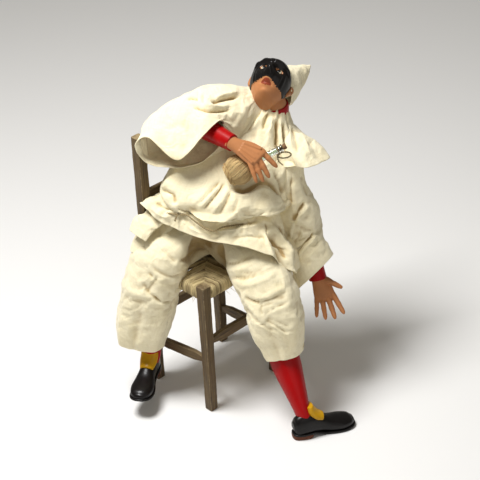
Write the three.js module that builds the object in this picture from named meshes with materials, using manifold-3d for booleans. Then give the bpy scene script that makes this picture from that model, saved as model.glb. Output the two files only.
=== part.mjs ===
// A commedia dell'arte servant in a loose white smock and half mask, sprawled on a rush-seated chair.
// The group stands on its chair legs: millimetres, Z up, the figure looks along -Y.
import * as THREE from "three";
import { mergeVertices } from "three/addons/utils/BufferGeometryUtils.js";
import Module from "manifold-3d";

const wasm = await Module();
wasm.setup();

// Gap left between neighbouring pieces
const GAP = 0.3;
const SMALLEST_STEP = 0.12;

// Chair, measured between the centres of its legs
const CHAIR_TURN = 42;
const CHAIR_WIDTH = 86;
const CHAIR_DEPTH = 77;
const SEAT_HEIGHT = 139;
const SEAT_THICKNESS = 15;
const SEAT_OVERHANG = 3.6;
const LEG_TOP_SIZE = 10.2;
const LEG_FOOT_SIZE = 8.8;
const LEG_ARRIS = 1.1;
const FRONT_LEG_HEIGHT = SEAT_HEIGHT + 3;
const BACK_POST_HEIGHT = SEAT_HEIGHT + 133;
const RAIL_HEIGHT = 10;
const RAIL_THICKNESS = 5;
const RAIL_END_HEIGHT = 5.5;
const RAIL_END_LENGTH = 14;
const FRONT_RAIL_LEVEL = 0.56 * SEAT_HEIGHT;
const BACK_RAIL_LEVEL = 0.55 * SEAT_HEIGHT;
const RIGHT_RAIL_LEVEL = 0.375 * SEAT_HEIGHT;
const LEFT_RAIL_LEVEL = 0.315 * SEAT_HEIGHT;
const RIGHT_RAIL_RISE = 10;
const LEFT_RAIL_RISE = 5;
const SLAT_HEIGHT = 17;
const SLAT_THICKNESS = 4;
const UPPER_SLAT_LEVEL = BACK_POST_HEIGHT - 16;
const LOWER_SLAT_LEVEL = SEAT_HEIGHT + 66;

// Figure: its standing height, and the even shares of it that its pose is written in
const FIGURE_HEIGHT = 400;
const POSE_SHARES = 400;
const HAND_LENGTH = FIGURE_HEIGHT / 8;
const SHOE_LENGTH = 0.15 * FIGURE_HEIGHT;
const SHOE_HEEL = 0.06 * SHOE_LENGTH;
const SHOE_HEIGHT = 0.4 * SHOE_LENGTH;
const CLOTH_EDGE = 2.2;
const CLOTH_RECESS = 5;
const BELT_DIAMETER = 1.7;

// Flask
const BULB_DIAMETER = 25;
const FLASK_LENGTH = 57;
const NECK_DIAMETER = 6.4;
const LIP_DIAMETER = 7.6;
const GLASS_WALL = 1.1;
const STRAW_THICKNESS = 1.5;
const STRAW_COVER = 24;
const CORK_LENGTH = 8;
const CORK_SEAT = 4.5;
const LOOP_DIAMETER = 10;
const LOOP_REACH = 6;
const LOOP_TWINE = 1.4;

const paint = (color, roughness, metalness = 0) =>
  new THREE.MeshStandardMaterial({ color, roughness, metalness });
const WOOD = paint(0x6f5f4c, 0.75);
const RUSH = paint(0xb9a273, 0.85);
const CLOTH = paint(0xeae0c4, 0.9);
const SKIN = paint(0xa5602f, 0.4);
const RED = paint(0xb01620, 0.4);
const TWINE = paint(0x9c865c, 0.9);
const GLASS = paint(0xb9c6c4, 0.08);
const CORK = paint(0x6d4f31, 0.8);

const vector = (x, y, z) => new THREE.Vector3(x, y, z);
const radians = THREE.MathUtils.degToRad;
const SCALE = FIGURE_HEIGHT / POSE_SHARES;

// A point of the figure, written from the middle of the seat top
function body(x, y, z) {
  return vector(x * SCALE, y * SCALE, SEAT_HEIGHT + z * SCALE);
}

// A point of the figure, written from the floor under the middle of the seat
function floor(x, y, z) {
  return vector(x * SCALE, y * SCALE, GAP + z * SCALE);
}

// A closed skin over rings with equal counts of points, with a fan at each end
function skin(rings) {
  const count = rings[0].length;
  const points = rings.flat();
  const faces = [];
  for (let r = 0; r + 1 < rings.length; r += 1) {
    for (let i = 0; i < count; i += 1) {
      const a = r * count + i;
      const b = r * count + ((i + 1) % count);
      faces.push(a, b, b + count, a, b + count, a + count);
    }
  }
  const middle = (ring) =>
    ring.reduce((sum, p) => sum.add(p), vector(0, 0, 0)).divideScalar(count);
  const first = points.length;
  const lastRing = (rings.length - 1) * count;
  points.push(middle(rings[0]), middle(rings[rings.length - 1]));
  for (let i = 0; i < count; i += 1) {
    const next = (i + 1) % count;
    faces.push(first, next, i);
    faces.push(first + 1, lastRing + i, lastRing + next);
  }
  const geometry = new THREE.BufferGeometry().setFromPoints(points);
  geometry.setIndex(faces);
  return geometry;
}

// A three.js geometry as a solid that can be joined and cut
function solid(source) {
  const geometry = source.clone();
  geometry.deleteAttribute("normal");
  geometry.deleteAttribute("uv");
  const merged = mergeVertices(geometry, 1e-4);
  const mesh = new wasm.Mesh({
    numProp: 3,
    vertProperties: new Float32Array(merged.attributes.position.array),
    triVerts: new Uint32Array(merged.index.array),
  });
  return new wasm.Manifold(mesh);
}

const join = (solids) => solids.reduce((sum, each) => sum.add(each));
const cut = (piece, tools) => tools.reduce((left, tool) => left.subtract(tool), piece);

// The largest body of a cut piece, without the crumbs that a cut leaves
function whole(piece) {
  const bodies = piece.decompose();
  bodies.sort((a, b) => b.volume() - a.volume());
  return bodies[0];
}

function mesh(name, piece, material) {
  const made = whole(piece).simplify(SMALLEST_STEP).getMesh();
  const geometry = new THREE.BufferGeometry();
  geometry.setAttribute("position", new THREE.BufferAttribute(made.vertProperties, 3));
  geometry.setIndex(new THREE.BufferAttribute(made.triVerts, 1));
  geometry.computeVertexNormals();
  const result = new THREE.Mesh(geometry, material);
  result.name = name;
  return result;
}

// A ring of points round a centre: side is the direction of its width, axis runs along the piece
function ring(station, sides, grow, relief) {
  const axis = station.axis.clone().normalize();
  const back = axis.clone().cross(station.side).normalize();
  const side = back.clone().cross(axis);
  const points = [];
  for (let i = 0; i < sides; i += 1) {
    const angle = (2 * Math.PI * i) / sides;
    const extra = grow + relief(angle, station.along);
    const across = Math.cos(angle) * (station.wide * SCALE + extra);
    const away = Math.sin(angle) * (station.deep * SCALE + extra);
    points.push(station.at.clone().addScaledVector(side, across).addScaledVector(back, away));
  }
  return points;
}

// A mouth that is open a little way in: an inner edge, then a floor set back from it
function mouth(rim, inward) {
  const centre = rim.reduce((sum, p) => sum.add(p), vector(0, 0, 0)).divideScalar(rim.length);
  const inner = rim.map((p) => {
    const reach = p.distanceTo(centre);
    return p.clone().lerp(centre, Math.min(CLOTH_EDGE / reach, 0.6));
  });
  const bed = inner.map((p) => p.clone().lerp(centre, 0.12).addScaledVector(inward, CLOTH_RECESS));
  return [inner, bed];
}

// A loft through stations, smooth in centre, width, depth and direction
function loft(stations, options = {}) {
  const { sides = 16, steps = 3, grow = 0, relief = () => 0, open = false } = options;
  const centres = new THREE.CatmullRomCurve3(stations.map((s) => s.at));
  const sizes = new THREE.CatmullRomCurve3(stations.map((s) => vector(s.wide, s.deep, 0)));
  const widths = new THREE.CatmullRomCurve3(stations.map((s) => s.side));
  const given = stations.every((s) => s.axis);
  const axes = given && new THREE.CatmullRomCurve3(stations.map((s) => s.axis));
  const count = (stations.length - 1) * steps;
  const rings = [];
  for (let i = 0; i <= count; i += 1) {
    const along = i / count;
    const size = sizes.getPoint(along);
    const axis = given ? axes.getPoint(along) : centres.getTangent(along);
    const at = centres.getPoint(along);
    const end = i === 0 ? -grow : i === count ? grow : 0;
    at.addScaledVector(axis.clone().normalize(), end);
    const station = { at, wide: size.x, deep: size.y, side: widths.getPoint(along), axis, along };
    rings.push(ring(station, sides, grow, relief));
  }
  if (open) {
    const outward = given ? axes.getPoint(1) : centres.getTangent(1);
    rings.push(...mouth(rings[rings.length - 1], outward.normalize().negate()));
  }
  return solid(skin(rings));
}

// Soft ridges and valleys that run along a garment, each at its own angle in degrees
function folds(list) {
  return (angle, along) => {
    let height = 0;
    for (const fold of list) {
      const place = radians(fold.at + (fold.drift ?? 0) * along);
      const away = Math.atan2(Math.sin(angle - place), Math.cos(angle - place));
      const across = Math.exp(-((away / radians(fold.width)) ** 2));
      const from = fold.from ?? 0;
      const to = fold.to ?? 1;
      const share = THREE.MathUtils.clamp((along - from) / (to - from), 0, 1);
      height += fold.height * across * Math.sin(Math.PI * Math.min(share, 0.5 + share / 2));
    }
    return height * SCALE;
  };
}

// Even gathers of a drawn-up edge, which die away along the cloth
function gathers(number, height, from, to) {
  return (angle, along) => {
    const share = THREE.MathUtils.clamp((along - from) / (to - from), 0, 1);
    return height * SCALE * share * Math.cos(number * angle);
  };
}

const both = (first, second) => (angle, along) => first(angle, along) + second(angle, along);

// A cord of even thickness along a smooth line
function cord(points, diameter, options = {}) {
  const { closed = false, sides = 6, steps = 24, grow = 0 } = options;
  const outline = [];
  for (let i = 0; i < sides; i += 1) {
    const angle = (2 * Math.PI * i) / sides;
    const radius = diameter / 2 + grow;
    outline.push(new THREE.Vector2(Math.cos(angle) * radius, Math.sin(angle) * radius));
  }
  const path = new THREE.CatmullRomCurve3(points, closed);
  const shape = new THREE.Shape(outline);
  return solid(new THREE.ExtrudeGeometry(shape, { steps, extrudePath: path, bevelEnabled: false }));
}

// A straight square bar with small arrises, through (level, size) pairs
function bar(levels) {
  const rings = levels.map(([z, size]) => {
    const half = size / 2;
    const flat = half - LEG_ARRIS;
    const corners = [
      [half, -flat],
      [half, flat],
      [flat, half],
      [-flat, half],
      [-half, flat],
      [-half, -flat],
      [-flat, -half],
      [flat, -half],
    ];
    return corners.map(([x, y]) => vector(x, y, z));
  });
  return solid(skin(rings));
}

// The chair is built square to its own axes, facing -Y, and turned at the end
const CORNER_X = CHAIR_WIDTH / 2;
const CORNER_Y = CHAIR_DEPTH / 2;

function leg(x, y, height, grow = 0) {
  const top = LEG_TOP_SIZE + 2 * grow;
  const foot = LEG_FOOT_SIZE + 2 * grow;
  const levels = [
    [-grow, foot - 2 * LEG_ARRIS],
    [LEG_ARRIS, foot],
    [SEAT_HEIGHT - SEAT_THICKNESS, top],
    [height - LEG_ARRIS, top],
    [height + grow, top - 2 * LEG_ARRIS],
  ];
  return bar(levels).translate([x, y, 0]);
}

const LEG_PLACES = {
  chair_front_right_leg: [-CORNER_X, -CORNER_Y, FRONT_LEG_HEIGHT],
  chair_front_left_leg: [CORNER_X, -CORNER_Y, FRONT_LEG_HEIGHT],
  chair_back_right_post: [-CORNER_X, CORNER_Y, BACK_POST_HEIGHT],
  chair_back_left_post: [CORNER_X, CORNER_Y, BACK_POST_HEIGHT],
};

// Half the size of a leg at a level, where a rail meets it
function legHalf(level) {
  const share = level / (SEAT_HEIGHT - SEAT_THICKNESS);
  return THREE.MathUtils.lerp(LEG_FOOT_SIZE, LEG_TOP_SIZE, Math.min(share, 1)) / 2;
}

// A flat rail along X whose ends are shaved down to go into the legs
function rail(span, level, height, thickness, endHeight, tilt = 0, grow = 0) {
  const reach = span / 2 - legHalf(level) - GAP + grow;
  const shoulder = reach - RAIL_END_LENGTH;
  const places = [-reach, -shoulder, 0, shoulder, reach];
  const rings = places.map((x, i) => {
    const high = (i === 0 || i === places.length - 1 ? endHeight : height) / 2 + grow;
    const thick = thickness / 2 + grow;
    const soft = Math.min(high, thick) * 0.35;
    const corners = [
      [thick - soft, -high],
      [thick, -high + soft],
      [thick, high - soft],
      [thick - soft, high],
      [-thick + soft, high],
      [-thick, high - soft],
      [-thick, -high + soft],
      [-thick + soft, -high],
    ];
    return corners.map(([y, z]) => vector(x, y, level + z + (tilt * x) / span));
  });
  return solid(skin(rings));
}

function rushSeat(grow = 0) {
  const halfX = CORNER_X + SEAT_OVERHANG + grow;
  const halfY = CORNER_Y + SEAT_OVERHANG + grow;
  const middle = SEAT_HEIGHT - SEAT_THICKNESS / 2;
  const strands = 24;
  const profile = [
    [0.12, 0.62],
    [0.62, 0.72],
    [0.9, 1],
    [1, 0.45],
    [1, -0.45],
    [0.9, -1],
    [0.12, -0.7],
  ];
  const rings = profile.map(([out, up]) => {
    const points = [];
    for (let i = 0; i < strands; i += 1) {
      const angle = (2 * Math.PI * i) / strands;
      const square = 1 / Math.max(Math.abs(Math.cos(angle)), Math.abs(Math.sin(angle)));
      const dip = 1 - 0.08 * Math.abs(Math.sin(2 * angle)) * (1 - out);
      const x = Math.cos(angle) * square * halfX * out * dip;
      const y = Math.sin(angle) * square * halfY * out * dip;
      points.push(vector(x, y, middle + up * (SEAT_THICKNESS / 2 + grow)));
    }
    return points;
  });
  return solid(skin(rings.reverse()));
}

const chair = new THREE.Group();
const legs = [];
const grownLegs = [];
for (const [name, [x, y, height]] of Object.entries(LEG_PLACES)) {
  const made = leg(x, y, height);
  legs.push(made);
  grownLegs.push(leg(x, y, height, GAP));
  chair.add(mesh(name, made, WOOD));
}
const seat = cut(rushSeat(), grownLegs);
chair.add(mesh("rush_seat", seat, RUSH));

// The four stretchers and the two back slats by name
function rails(grow = 0) {
  const bar = (span, level, rise) =>
    rail(span, level, RAIL_HEIGHT, RAIL_THICKNESS, RAIL_END_HEIGHT, rise, grow);
  const across = (level, y) => bar(CHAIR_WIDTH, level, 0).translate([0, y, 0]);
  const beside = (level, rise, x) =>
    bar(CHAIR_DEPTH, level, rise).rotate([0, 0, -90]).translate([x, 0, 0]);
  const slat = (level) =>
    rail(CHAIR_WIDTH, level, SLAT_HEIGHT, SLAT_THICKNESS, SLAT_HEIGHT, 0, grow);
  return {
    chair_front_stretcher: across(FRONT_RAIL_LEVEL, -CORNER_Y),
    chair_back_stretcher: across(BACK_RAIL_LEVEL, CORNER_Y),
    chair_right_stretcher: beside(RIGHT_RAIL_LEVEL, RIGHT_RAIL_RISE, -CORNER_X),
    chair_left_stretcher: beside(LEFT_RAIL_LEVEL, LEFT_RAIL_RISE, CORNER_X),
    chair_upper_slat: slat(UPPER_SLAT_LEVEL).translate([0, CORNER_Y, 0]),
    chair_lower_slat: slat(LOWER_SLAT_LEVEL).translate([0, CORNER_Y, 0]),
  };
}

for (const [name, made] of Object.entries(rails())) {
  chair.add(mesh(name, made, WOOD));
}
chair.rotation.z = radians(CHAIR_TURN);

// What the figure sits on and leans over, grown by the gap, in the figure's own frame
const SEAT_GROWTH = 2 * GAP;
const chairTools = [
  ...grownLegs,
  rushSeat(SEAT_GROWTH),
  ...Object.values(rails(GAP)),
].map((tool) => tool.rotate([0, 0, CHAIR_TURN]));

// A frame that carries a carved piece from its own axes to its place
function placed(piece, origin, along, up) {
  const y = along.clone().normalize();
  const x = y.clone().cross(up).normalize();
  const z = x.clone().cross(y);
  const matrix = new THREE.Matrix4().makeBasis(x, y, z).setPosition(origin);
  return piece.transform(matrix.elements);
}

// Hand, written along +Y with the back of the hand up and the thumb on the side of its sign
const FINGERS = [
  { across: 7.9, length: 0.47, thick: 2.7 },
  { across: 2.8, length: 0.5, thick: 2.75 },
  { across: -2.4, length: 0.46, thick: 2.6 },
  { across: -7.2, length: 0.38, thick: 2.3 },
];
const PALM_SHARE = 0.5;

function hand(thumbSide, spreads, curl, thumbSpread, grow) {
  const length = HAND_LENGTH;
  const side = vector(1, 0, 0);
  const palm = loft(
    [
      { at: vector(0, -0.06 * length, 0), wide: 6.2, deep: 4.8, side },
      { at: vector(0, 0.06 * length, 0), wide: 6.8, deep: 4.6, side },
      { at: vector(0.8 * thumbSide, 0.28 * length, 0), wide: 9.4, deep: 4.4, side },
      { at: vector(0.3 * thumbSide, PALM_SHARE * length, 0.3), wide: 10.4, deep: 3.5, side },
      { at: vector(0, 0.56 * length, 0.2), wide: 8.8, deep: 2.0, side },
    ],
    { sides: 10, steps: 1, grow },
  );
  const parts = [palm];
  FINGERS.forEach((finger, i) => {
    const root = vector(finger.across * thumbSide, (PALM_SHARE - 0.06) * length, 0.4);
    const turn = radians(spreads[i]) * thumbSide;
    const reach = finger.length * length;
    const knuckle = root.clone();
    const stations = [{ at: knuckle, wide: finger.thick, deep: finger.thick, side }];
    const joints = [0.45, 0.78, 1];
    const sizes = [0.98, 0.86, 0.45];
    joints.forEach((share, k) => {
      const bend = radians(curl) * (k + 1) * 0.6;
      const step = (share - (joints[k - 1] ?? 0)) * reach;
      const heading = vector(Math.sin(turn), Math.cos(turn) * Math.cos(bend), -Math.sin(bend));
      const at = stations[stations.length - 1].at.clone().addScaledVector(heading, step);
      const size = finger.thick * sizes[k];
      stations.push({ at, wide: size, deep: size, side });
    });
    parts.push(loft(stations, { sides: 6, steps: 1, grow }));
  });
  const out = radians(thumbSpread);
  const thumbRoot = vector(4.5 * thumbSide, 0.1 * length, -1);
  const thumbWay = vector(Math.sin(out) * thumbSide, Math.cos(out), -0.25);
  const thumb = [
    [0, 3],
    [0.16, 3.1],
    [0.33, 2.6],
    [0.42, 1.3],
  ].map(([share, thick]) => ({
    at: thumbRoot.clone().addScaledVector(thumbWay, share * length),
    wide: thick,
    deep: thick,
    side: vector(0, 0, 1),
  }));
  parts.push(loft(thumb, { sides: 6, steps: 1, grow }));
  return join(parts);
}

// Right arm: bent up from the elbow on the chair back, the hand spread over the flask
const RIGHT_ELBOW = body(-14, 17, 141);
const RIGHT_WRIST = body(29.5, -29, 135.5);

function rightArm(grow = 0) {
  const side = vector(0, 0, 1);
  const forearm = loft(
    [
      { at: RIGHT_ELBOW, wide: 10, deep: 9, side },
      { at: RIGHT_ELBOW.clone().lerp(RIGHT_WRIST, 0.4), wide: 11, deep: 9.5, side },
      { at: RIGHT_ELBOW.clone().lerp(RIGHT_WRIST, 0.78), wide: 9, deep: 8, side },
      { at: RIGHT_WRIST, wide: 8, deep: 7, side },
    ],
    { sides: 12, steps: 1, grow },
  );
  const fingers = hand(-1, [-10, -26, -31, -37], 12, 10, grow);
  return forearm.add(placed(fingers, RIGHT_WRIST, vector(0.8, -0.36, -0.42), vector(0.2, -0.75, 0.62)));
}

// Left arm: hanging, with the palm turned to the front
const LEFT_ELBOW = body(91, -4, 40);
const LEFT_WRIST = body(101.4, -20, -16.5);

function leftArm(grow = 0) {
  const side = vector(1, 0, 0);
  const forearm = loft(
    [
      { at: LEFT_ELBOW, wide: 9.5, deep: 9.5, side },
      { at: LEFT_ELBOW.clone().lerp(LEFT_WRIST, 0.6), wide: 8.5, deep: 8, side },
      { at: LEFT_WRIST.clone().lerp(LEFT_ELBOW, 0.04), wide: 6.9, deep: 6.4, side },
    ],
    { sides: 12, steps: 1, grow },
  );
  const fingers = hand(1, [14, 3, -6, -16], 22, 48, grow);
  return forearm.add(placed(fingers, LEFT_WRIST, vector(0.27, -0.26, -0.93), vector(0.05, 0.9, -0.25)));
}

// Shoe, written from the middle of the heel's underside, toe along +Y
function shoe(grow) {
  const length = SHOE_LENGTH;
  const sides = 12;
  const profile = [
    [0, 4.2, 9, 0.7],
    [0.05, 6.6, 1, 0.92],
    [0.18, 7.8, 0, 1.04],
    [0.34, 7.6, 0, 1],
    [0.48, 7.9, 0, 0.79],
    [0.62, 9.8, 0, 0.6],
    [0.78, 11, 0, 0.5],
    [0.92, 9.2, 0.4, 0.42],
    [1, 4.2, 2, 0.27],
  ];
  const rings = profile.map(([share, wide, low, tall]) => {
    const points = [];
    const high = tall * SHOE_HEIGHT;
    const waist = share > 0.3 && share < 0.56 ? SHOE_HEEL : share >= 0.56 ? SHOE_HEEL * 0.4 : 0;
    for (let i = 0; i < sides; i += 1) {
      const angle = (2 * Math.PI * i) / sides;
      const across = Math.cos(angle) * (wide + grow);
      const up = Math.sin(angle) > 0 ? Math.sin(angle) ** 0.9 : -(Math.abs(Math.sin(angle)) ** 0.35);
      const middle = (low + waist + high) / 2;
      points.push(vector(across, share * length, middle + up * ((high - low - waist) / 2 + grow)));
    }
    return points.reverse();
  });
  return solid(skin(rings));
}

function carvedLeg(heel, toe, ankle, shin, knee, grow) {
  const side = vector(1, 0.3, 0);
  const instep = heel.clone().lerp(toe, 0.24).add(vector(0, 0, 0.6 * SHOE_HEIGHT));
  const limb = loft(
    [
      { at: knee, wide: 14.5, deep: 14.5, side },
      { at: shin, wide: 14.3, deep: 14, side },
      { at: shin.clone().lerp(ankle, 0.55), wide: 11, deep: 11.5, side },
      { at: ankle, wide: 8.2, deep: 8.6, side },
      { at: instep, wide: 7, deep: 8, side },
    ],
    { sides: 12, steps: 1, grow },
  );
  const across = vector(1, 0, 0);
  const tongue = loft(
    [
      { at: vector(0, 0.29 * SHOE_LENGTH, 1.36 * SHOE_HEIGHT), wide: 7, deep: 3, side: across },
      { at: vector(0, 0.33 * SHOE_LENGTH, 1.05 * SHOE_HEIGHT), wide: 7.6, deep: 4.5, side: across },
      { at: vector(0, 0.45 * SHOE_LENGTH, 0.7 * SHOE_HEIGHT), wide: 6, deep: 4, side: across },
    ],
    { sides: 8, steps: 1, grow },
  );
  const foot = placed(shoe(grow).add(tongue), heel, toe.clone().sub(heel), vector(0, 0, 1));
  return limb.add(foot);
}

// The left foot stands on the floor, and the right one hangs a little above it
const LEFT_HEEL = floor(70.5, -110, 0);
const LEFT_TOE = floor(127.5, -91, 0);
const LEFT_ANKLE = floor(78.5, -100, 28.7);
const leftLeg = (grow = 0) =>
  carvedLeg(LEFT_HEEL, LEFT_TOE, LEFT_ANKLE, body(67, -76, -77), body(60, -66, -52), grow);
const RIGHT_HEEL = floor(-60, -9.5, 18.7);
const RIGHT_TOE = floor(-75, -67, 19.7);
const RIGHT_ANKLE = floor(-60.5, -21, 44.7);
const rightLeg = (grow = 0) =>
  carvedLeg(RIGHT_HEEL, RIGHT_TOE, RIGHT_ANKLE, body(-65, -23, -66), body(-65, -22, -45), grow);

// Trousers: two wide legs that meet in the lap
function trousers(grow = 0) {
  const rightFolds = folds([
    { at: 250, width: 16, height: -4, from: 0.3, to: 0.75, drift: 20 },
    { at: 300, width: 18, height: 3, from: 0.4, to: 1 },
    { at: 200, width: 20, height: 2.5, from: 0.5, to: 1 },
  ]);
  const right = loft(
    [
      { at: body(16, 14, 26), wide: 32, deep: 22, side: vector(0.5, -0.86, 0) },
      { at: body(-12, 0, 24), wide: 29, deep: 24, side: vector(0.5, -0.86, 0) },
      { at: body(-38, -15, 15), wide: 29, deep: 26, side: vector(0.7, -0.7, 0) },
      { at: body(-53, -20, -8), wide: 28, deep: 26, side: vector(1, -0.3, -0.2) },
      { at: body(-60, -20, -38), wide: 27, deep: 25, side: vector(1, 0, 0) },
      { at: body(-67, -22, -62), wide: 25.5, deep: 22, side: vector(1, 0, 0) },
      { at: body(-70, -23, -80), wide: 22.5, deep: 18, side: vector(1, 0, 0) },
    ],
    { sides: 12, steps: 2, grow, relief: rightFolds, open: true },
  );
  const leftFolds = folds([
    { at: 290, width: 16, height: 3.5, from: 0.25, to: 0.8, drift: -15 },
    { at: 245, width: 14, height: -3.5, from: 0.4, to: 0.85 },
    { at: 340, width: 18, height: 2.5, from: 0.5, to: 1 },
  ]);
  const left = loft(
    [
      { at: body(8, 14, 26), wide: 32, deep: 22, side: vector(1, 0.4, 0) },
      { at: body(26, -8, 21), wide: 30, deep: 25, side: vector(1, 0.5, 0) },
      { at: body(44, -38, 10), wide: 28, deep: 26, side: vector(1, 0.4, 0) },
      { at: body(56, -59, -11), wide: 27, deep: 25, side: vector(1, 0.2, 0) },
      { at: body(60, -66, -38), wide: 26, deep: 24, side: vector(1, 0.1, 0) },
      { at: body(63, -69, -54), wide: 22, deep: 20.5, side: vector(1, 0.1, 0) },
      { at: body(65, -73, -68), wide: 18, deep: 17.8, side: vector(1, 0.1, 0) },
    ],
    { sides: 12, steps: 2, grow, relief: leftFolds, open: true },
  );
  return right.add(left);
}

// Right sleeve: a wide bell that drapes over the chair back and opens towards the front.
// Each ring runs from its top over the front, the underside and the back.
const SLEEVE_RINGS = [
  [
    [46, 30, 160],
    [42, 8, 152],
    [40, 2, 136],
    [38, 8, 116],
    [40, 25, 110],
    [44, 42, 116],
    [46, 48, 136],
    [48, 44, 152],
  ],
  [
    [18, 20, 170],
    [20, 0, 160],
    [28, -6, 142],
    [26, -4, 118],
    [15, 12, 104],
    [8, 34, 112],
    [8, 42, 140],
    [8, 36, 160],
  ],
  [
    [-10, 4, 163],
    [8, -14, 157],
    [22, -10, 148],
    [19, -9, 121],
    [-2, -2, 106],
    [-36, 12, 108],
    [-46, 14, 137],
    [-38, 10, 154],
  ],
  [
    [-22, -30, 123],
    [5, -25, 147],
    [20, -12, 152],
    [18, -12, 126],
    [-8, -16, 108],
    [-48, -8, 107],
    [-61, -9, 128],
    [-48, -12, 138],
  ],
];

function throughRings(rings, options = {}) {
  const { sides = 14, steps = 2, grow = 0 } = options;
  const loops = rings.map((points) => {
    const loop = new THREE.CatmullRomCurve3(points.map((p) => body(...p)), true);
    const centre = points.reduce((sum, p) => sum.add(body(...p)), vector(0, 0, 0));
    centre.divideScalar(points.length);
    const around = [];
    for (let i = 0; i < sides; i += 1) {
      const p = loop.getPoint(i / sides);
      const out = p.clone().sub(centre).normalize();
      around.push(p.addScaledVector(out, grow));
    }
    return around.reverse();
  });
  const ribs = loops[0].map((_, i) => new THREE.CatmullRomCurve3(loops.map((loop) => loop[i])));
  const count = (rings.length - 1) * steps;
  const result = [];
  for (let k = 0; k <= count; k += 1) {
    result.push(ribs.map((rib) => rib.getPoint(k / count)));
  }
  return result;
}

const SLEEVE_OUT = vector(-0.1, -0.8, -0.45).normalize();

function rightSleeve() {
  const outside = throughRings(SLEEVE_RINGS);
  const inside = throughRings(SLEEVE_RINGS, { grow: -CLOTH_EDGE }).slice(3);
  const rim = inside[inside.length - 1];
  inside.push(rim.map((p) => p.clone().addScaledVector(SLEEVE_OUT, 3 * CLOTH_EDGE)));
  return solid(skin(outside)).subtract(solid(skin(inside)));
}

// Smock body from the belt up to the drawn-in neck
function smockBody() {
  const neck = gathers(10, 0.9, 0.62, 0.95);
  const belly = folds([
    { at: 250, width: 22, height: 6, from: 0, to: 0.35 },
    { at: 225, width: 10, height: -4, from: 0.05, to: 0.55, drift: 20 },
    { at: 285, width: 12, height: -4, from: 0.1, to: 0.5 },
    { at: 310, width: 16, height: 4, from: 0.05, to: 0.5 },
    { at: 205, width: 12, height: 4, from: 0.1, to: 0.7 },
    { at: 330, width: 9, height: -3.5, from: 0.5, to: 0.95 },
  ]);
  const waistWay = vector(-0.05, 0.28, 0.95);
  const chestWay = vector(0.22, 0.28, 0.93);
  const neckWay = vector(0.4, 0.25, 0.88);
  const neckSide = vector(1, -0.2, -0.4);
  const stations = [
    { at: body(14, -6, 41), wide: 49, deep: 37, side: vector(1, 0, 0.08), axis: waistWay },
    { at: body(26, -7, 53), wide: 52, deep: 43, side: vector(1, 0, 0.1), axis: waistWay },
    { at: body(20, -2, 68), wide: 61, deep: 44, side: vector(1, 0, 0), axis: vector(0.1, 0.28, 0.94) },
    { at: body(27, 6, 85), wide: 58, deep: 38, side: vector(1, 0, -0.15), axis: chestWay },
    { at: body(39, 16, 104), wide: 54, deep: 30, side: vector(1, -0.1, -0.3), axis: chestWay },
    { at: body(54, 24, 120), wide: 40, deep: 25, side: vector(1, -0.2, -0.45), axis: neckWay },
    { at: body(65, 29, 132), wide: 22, deep: 18, side: neckSide, axis: neckWay },
    { at: body(69, 30, 141), wide: 13, deep: 12, side: neckSide, axis: neckWay },
  ];
  return loft(stations, { sides: 18, steps: 2, relief: both(neck, belly) });
}

// Skirt from the belt down to its flared hem
function skirt() {
  const waves = folds([
    { at: 255, width: 14, height: 4, from: 0.2, to: 1 },
    { at: 290, width: 12, height: -4, from: 0.2, to: 1 },
    { at: 320, width: 10, height: 4, from: 0.1, to: 1 },
    { at: 345, width: 9, height: -5, from: 0, to: 1 },
    { at: 225, width: 12, height: -3, from: 0.2, to: 1 },
    { at: 200, width: 10, height: 3, from: 0.2, to: 1 },
    { at: 90, width: 20, height: -3, from: 0.2, to: 1 },
    { at: 140, width: 14, height: 3, from: 0.2, to: 1 },
  ]);
  const topWay = vector(-0.24, -0.28, -0.92);
  const midWay = vector(-0.3, -0.3, -0.9);
  const hemWay = vector(-0.37, -0.37, -0.84);
  const stations = [
    { at: body(13, -6, 52), wide: 50, deep: 36, side: vector(1, 0, -0.25), axis: topWay },
    { at: body(12, -5, 43), wide: 60, deep: 43, side: vector(1, 0, -0.32), axis: midWay },
    { at: body(10, -3, 28), wide: 76, deep: 53, side: vector(0.92, 0, -0.4), axis: hemWay },
  ];
  const mirrored = stations.map((s) => ({ ...s, side: s.side.clone().multiplyScalar(-1) }));
  const turned = (angle, along) => waves(Math.PI - angle, along);
  return loft(mirrored, { sides: 18, steps: 2, relief: turned, open: true });
}

// The back tail of the smock, which hangs in two folds beside the seat
function tail() {
  const side = vector(0.75, -0.66, 0);
  const upper = loft(
    [
      { at: body(-38, -6, 56), wide: 14, deep: 5, side },
      { at: body(-56, -14, 44), wide: 14, deep: 5, side },
      { at: body(-65, -20, 32), wide: 12, deep: 4, side },
    ],
    { sides: 8, steps: 1 },
  );
  const lower = loft(
    [
      { at: body(-38, -4, 46), wide: 14, deep: 5, side },
      { at: body(-58, -14, 28), wide: 14, deep: 5, side },
      { at: body(-66, -19, 16), wide: 11, deep: 4, side },
    ],
    { sides: 8, steps: 1 },
  );
  return upper.add(lower);
}

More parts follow.
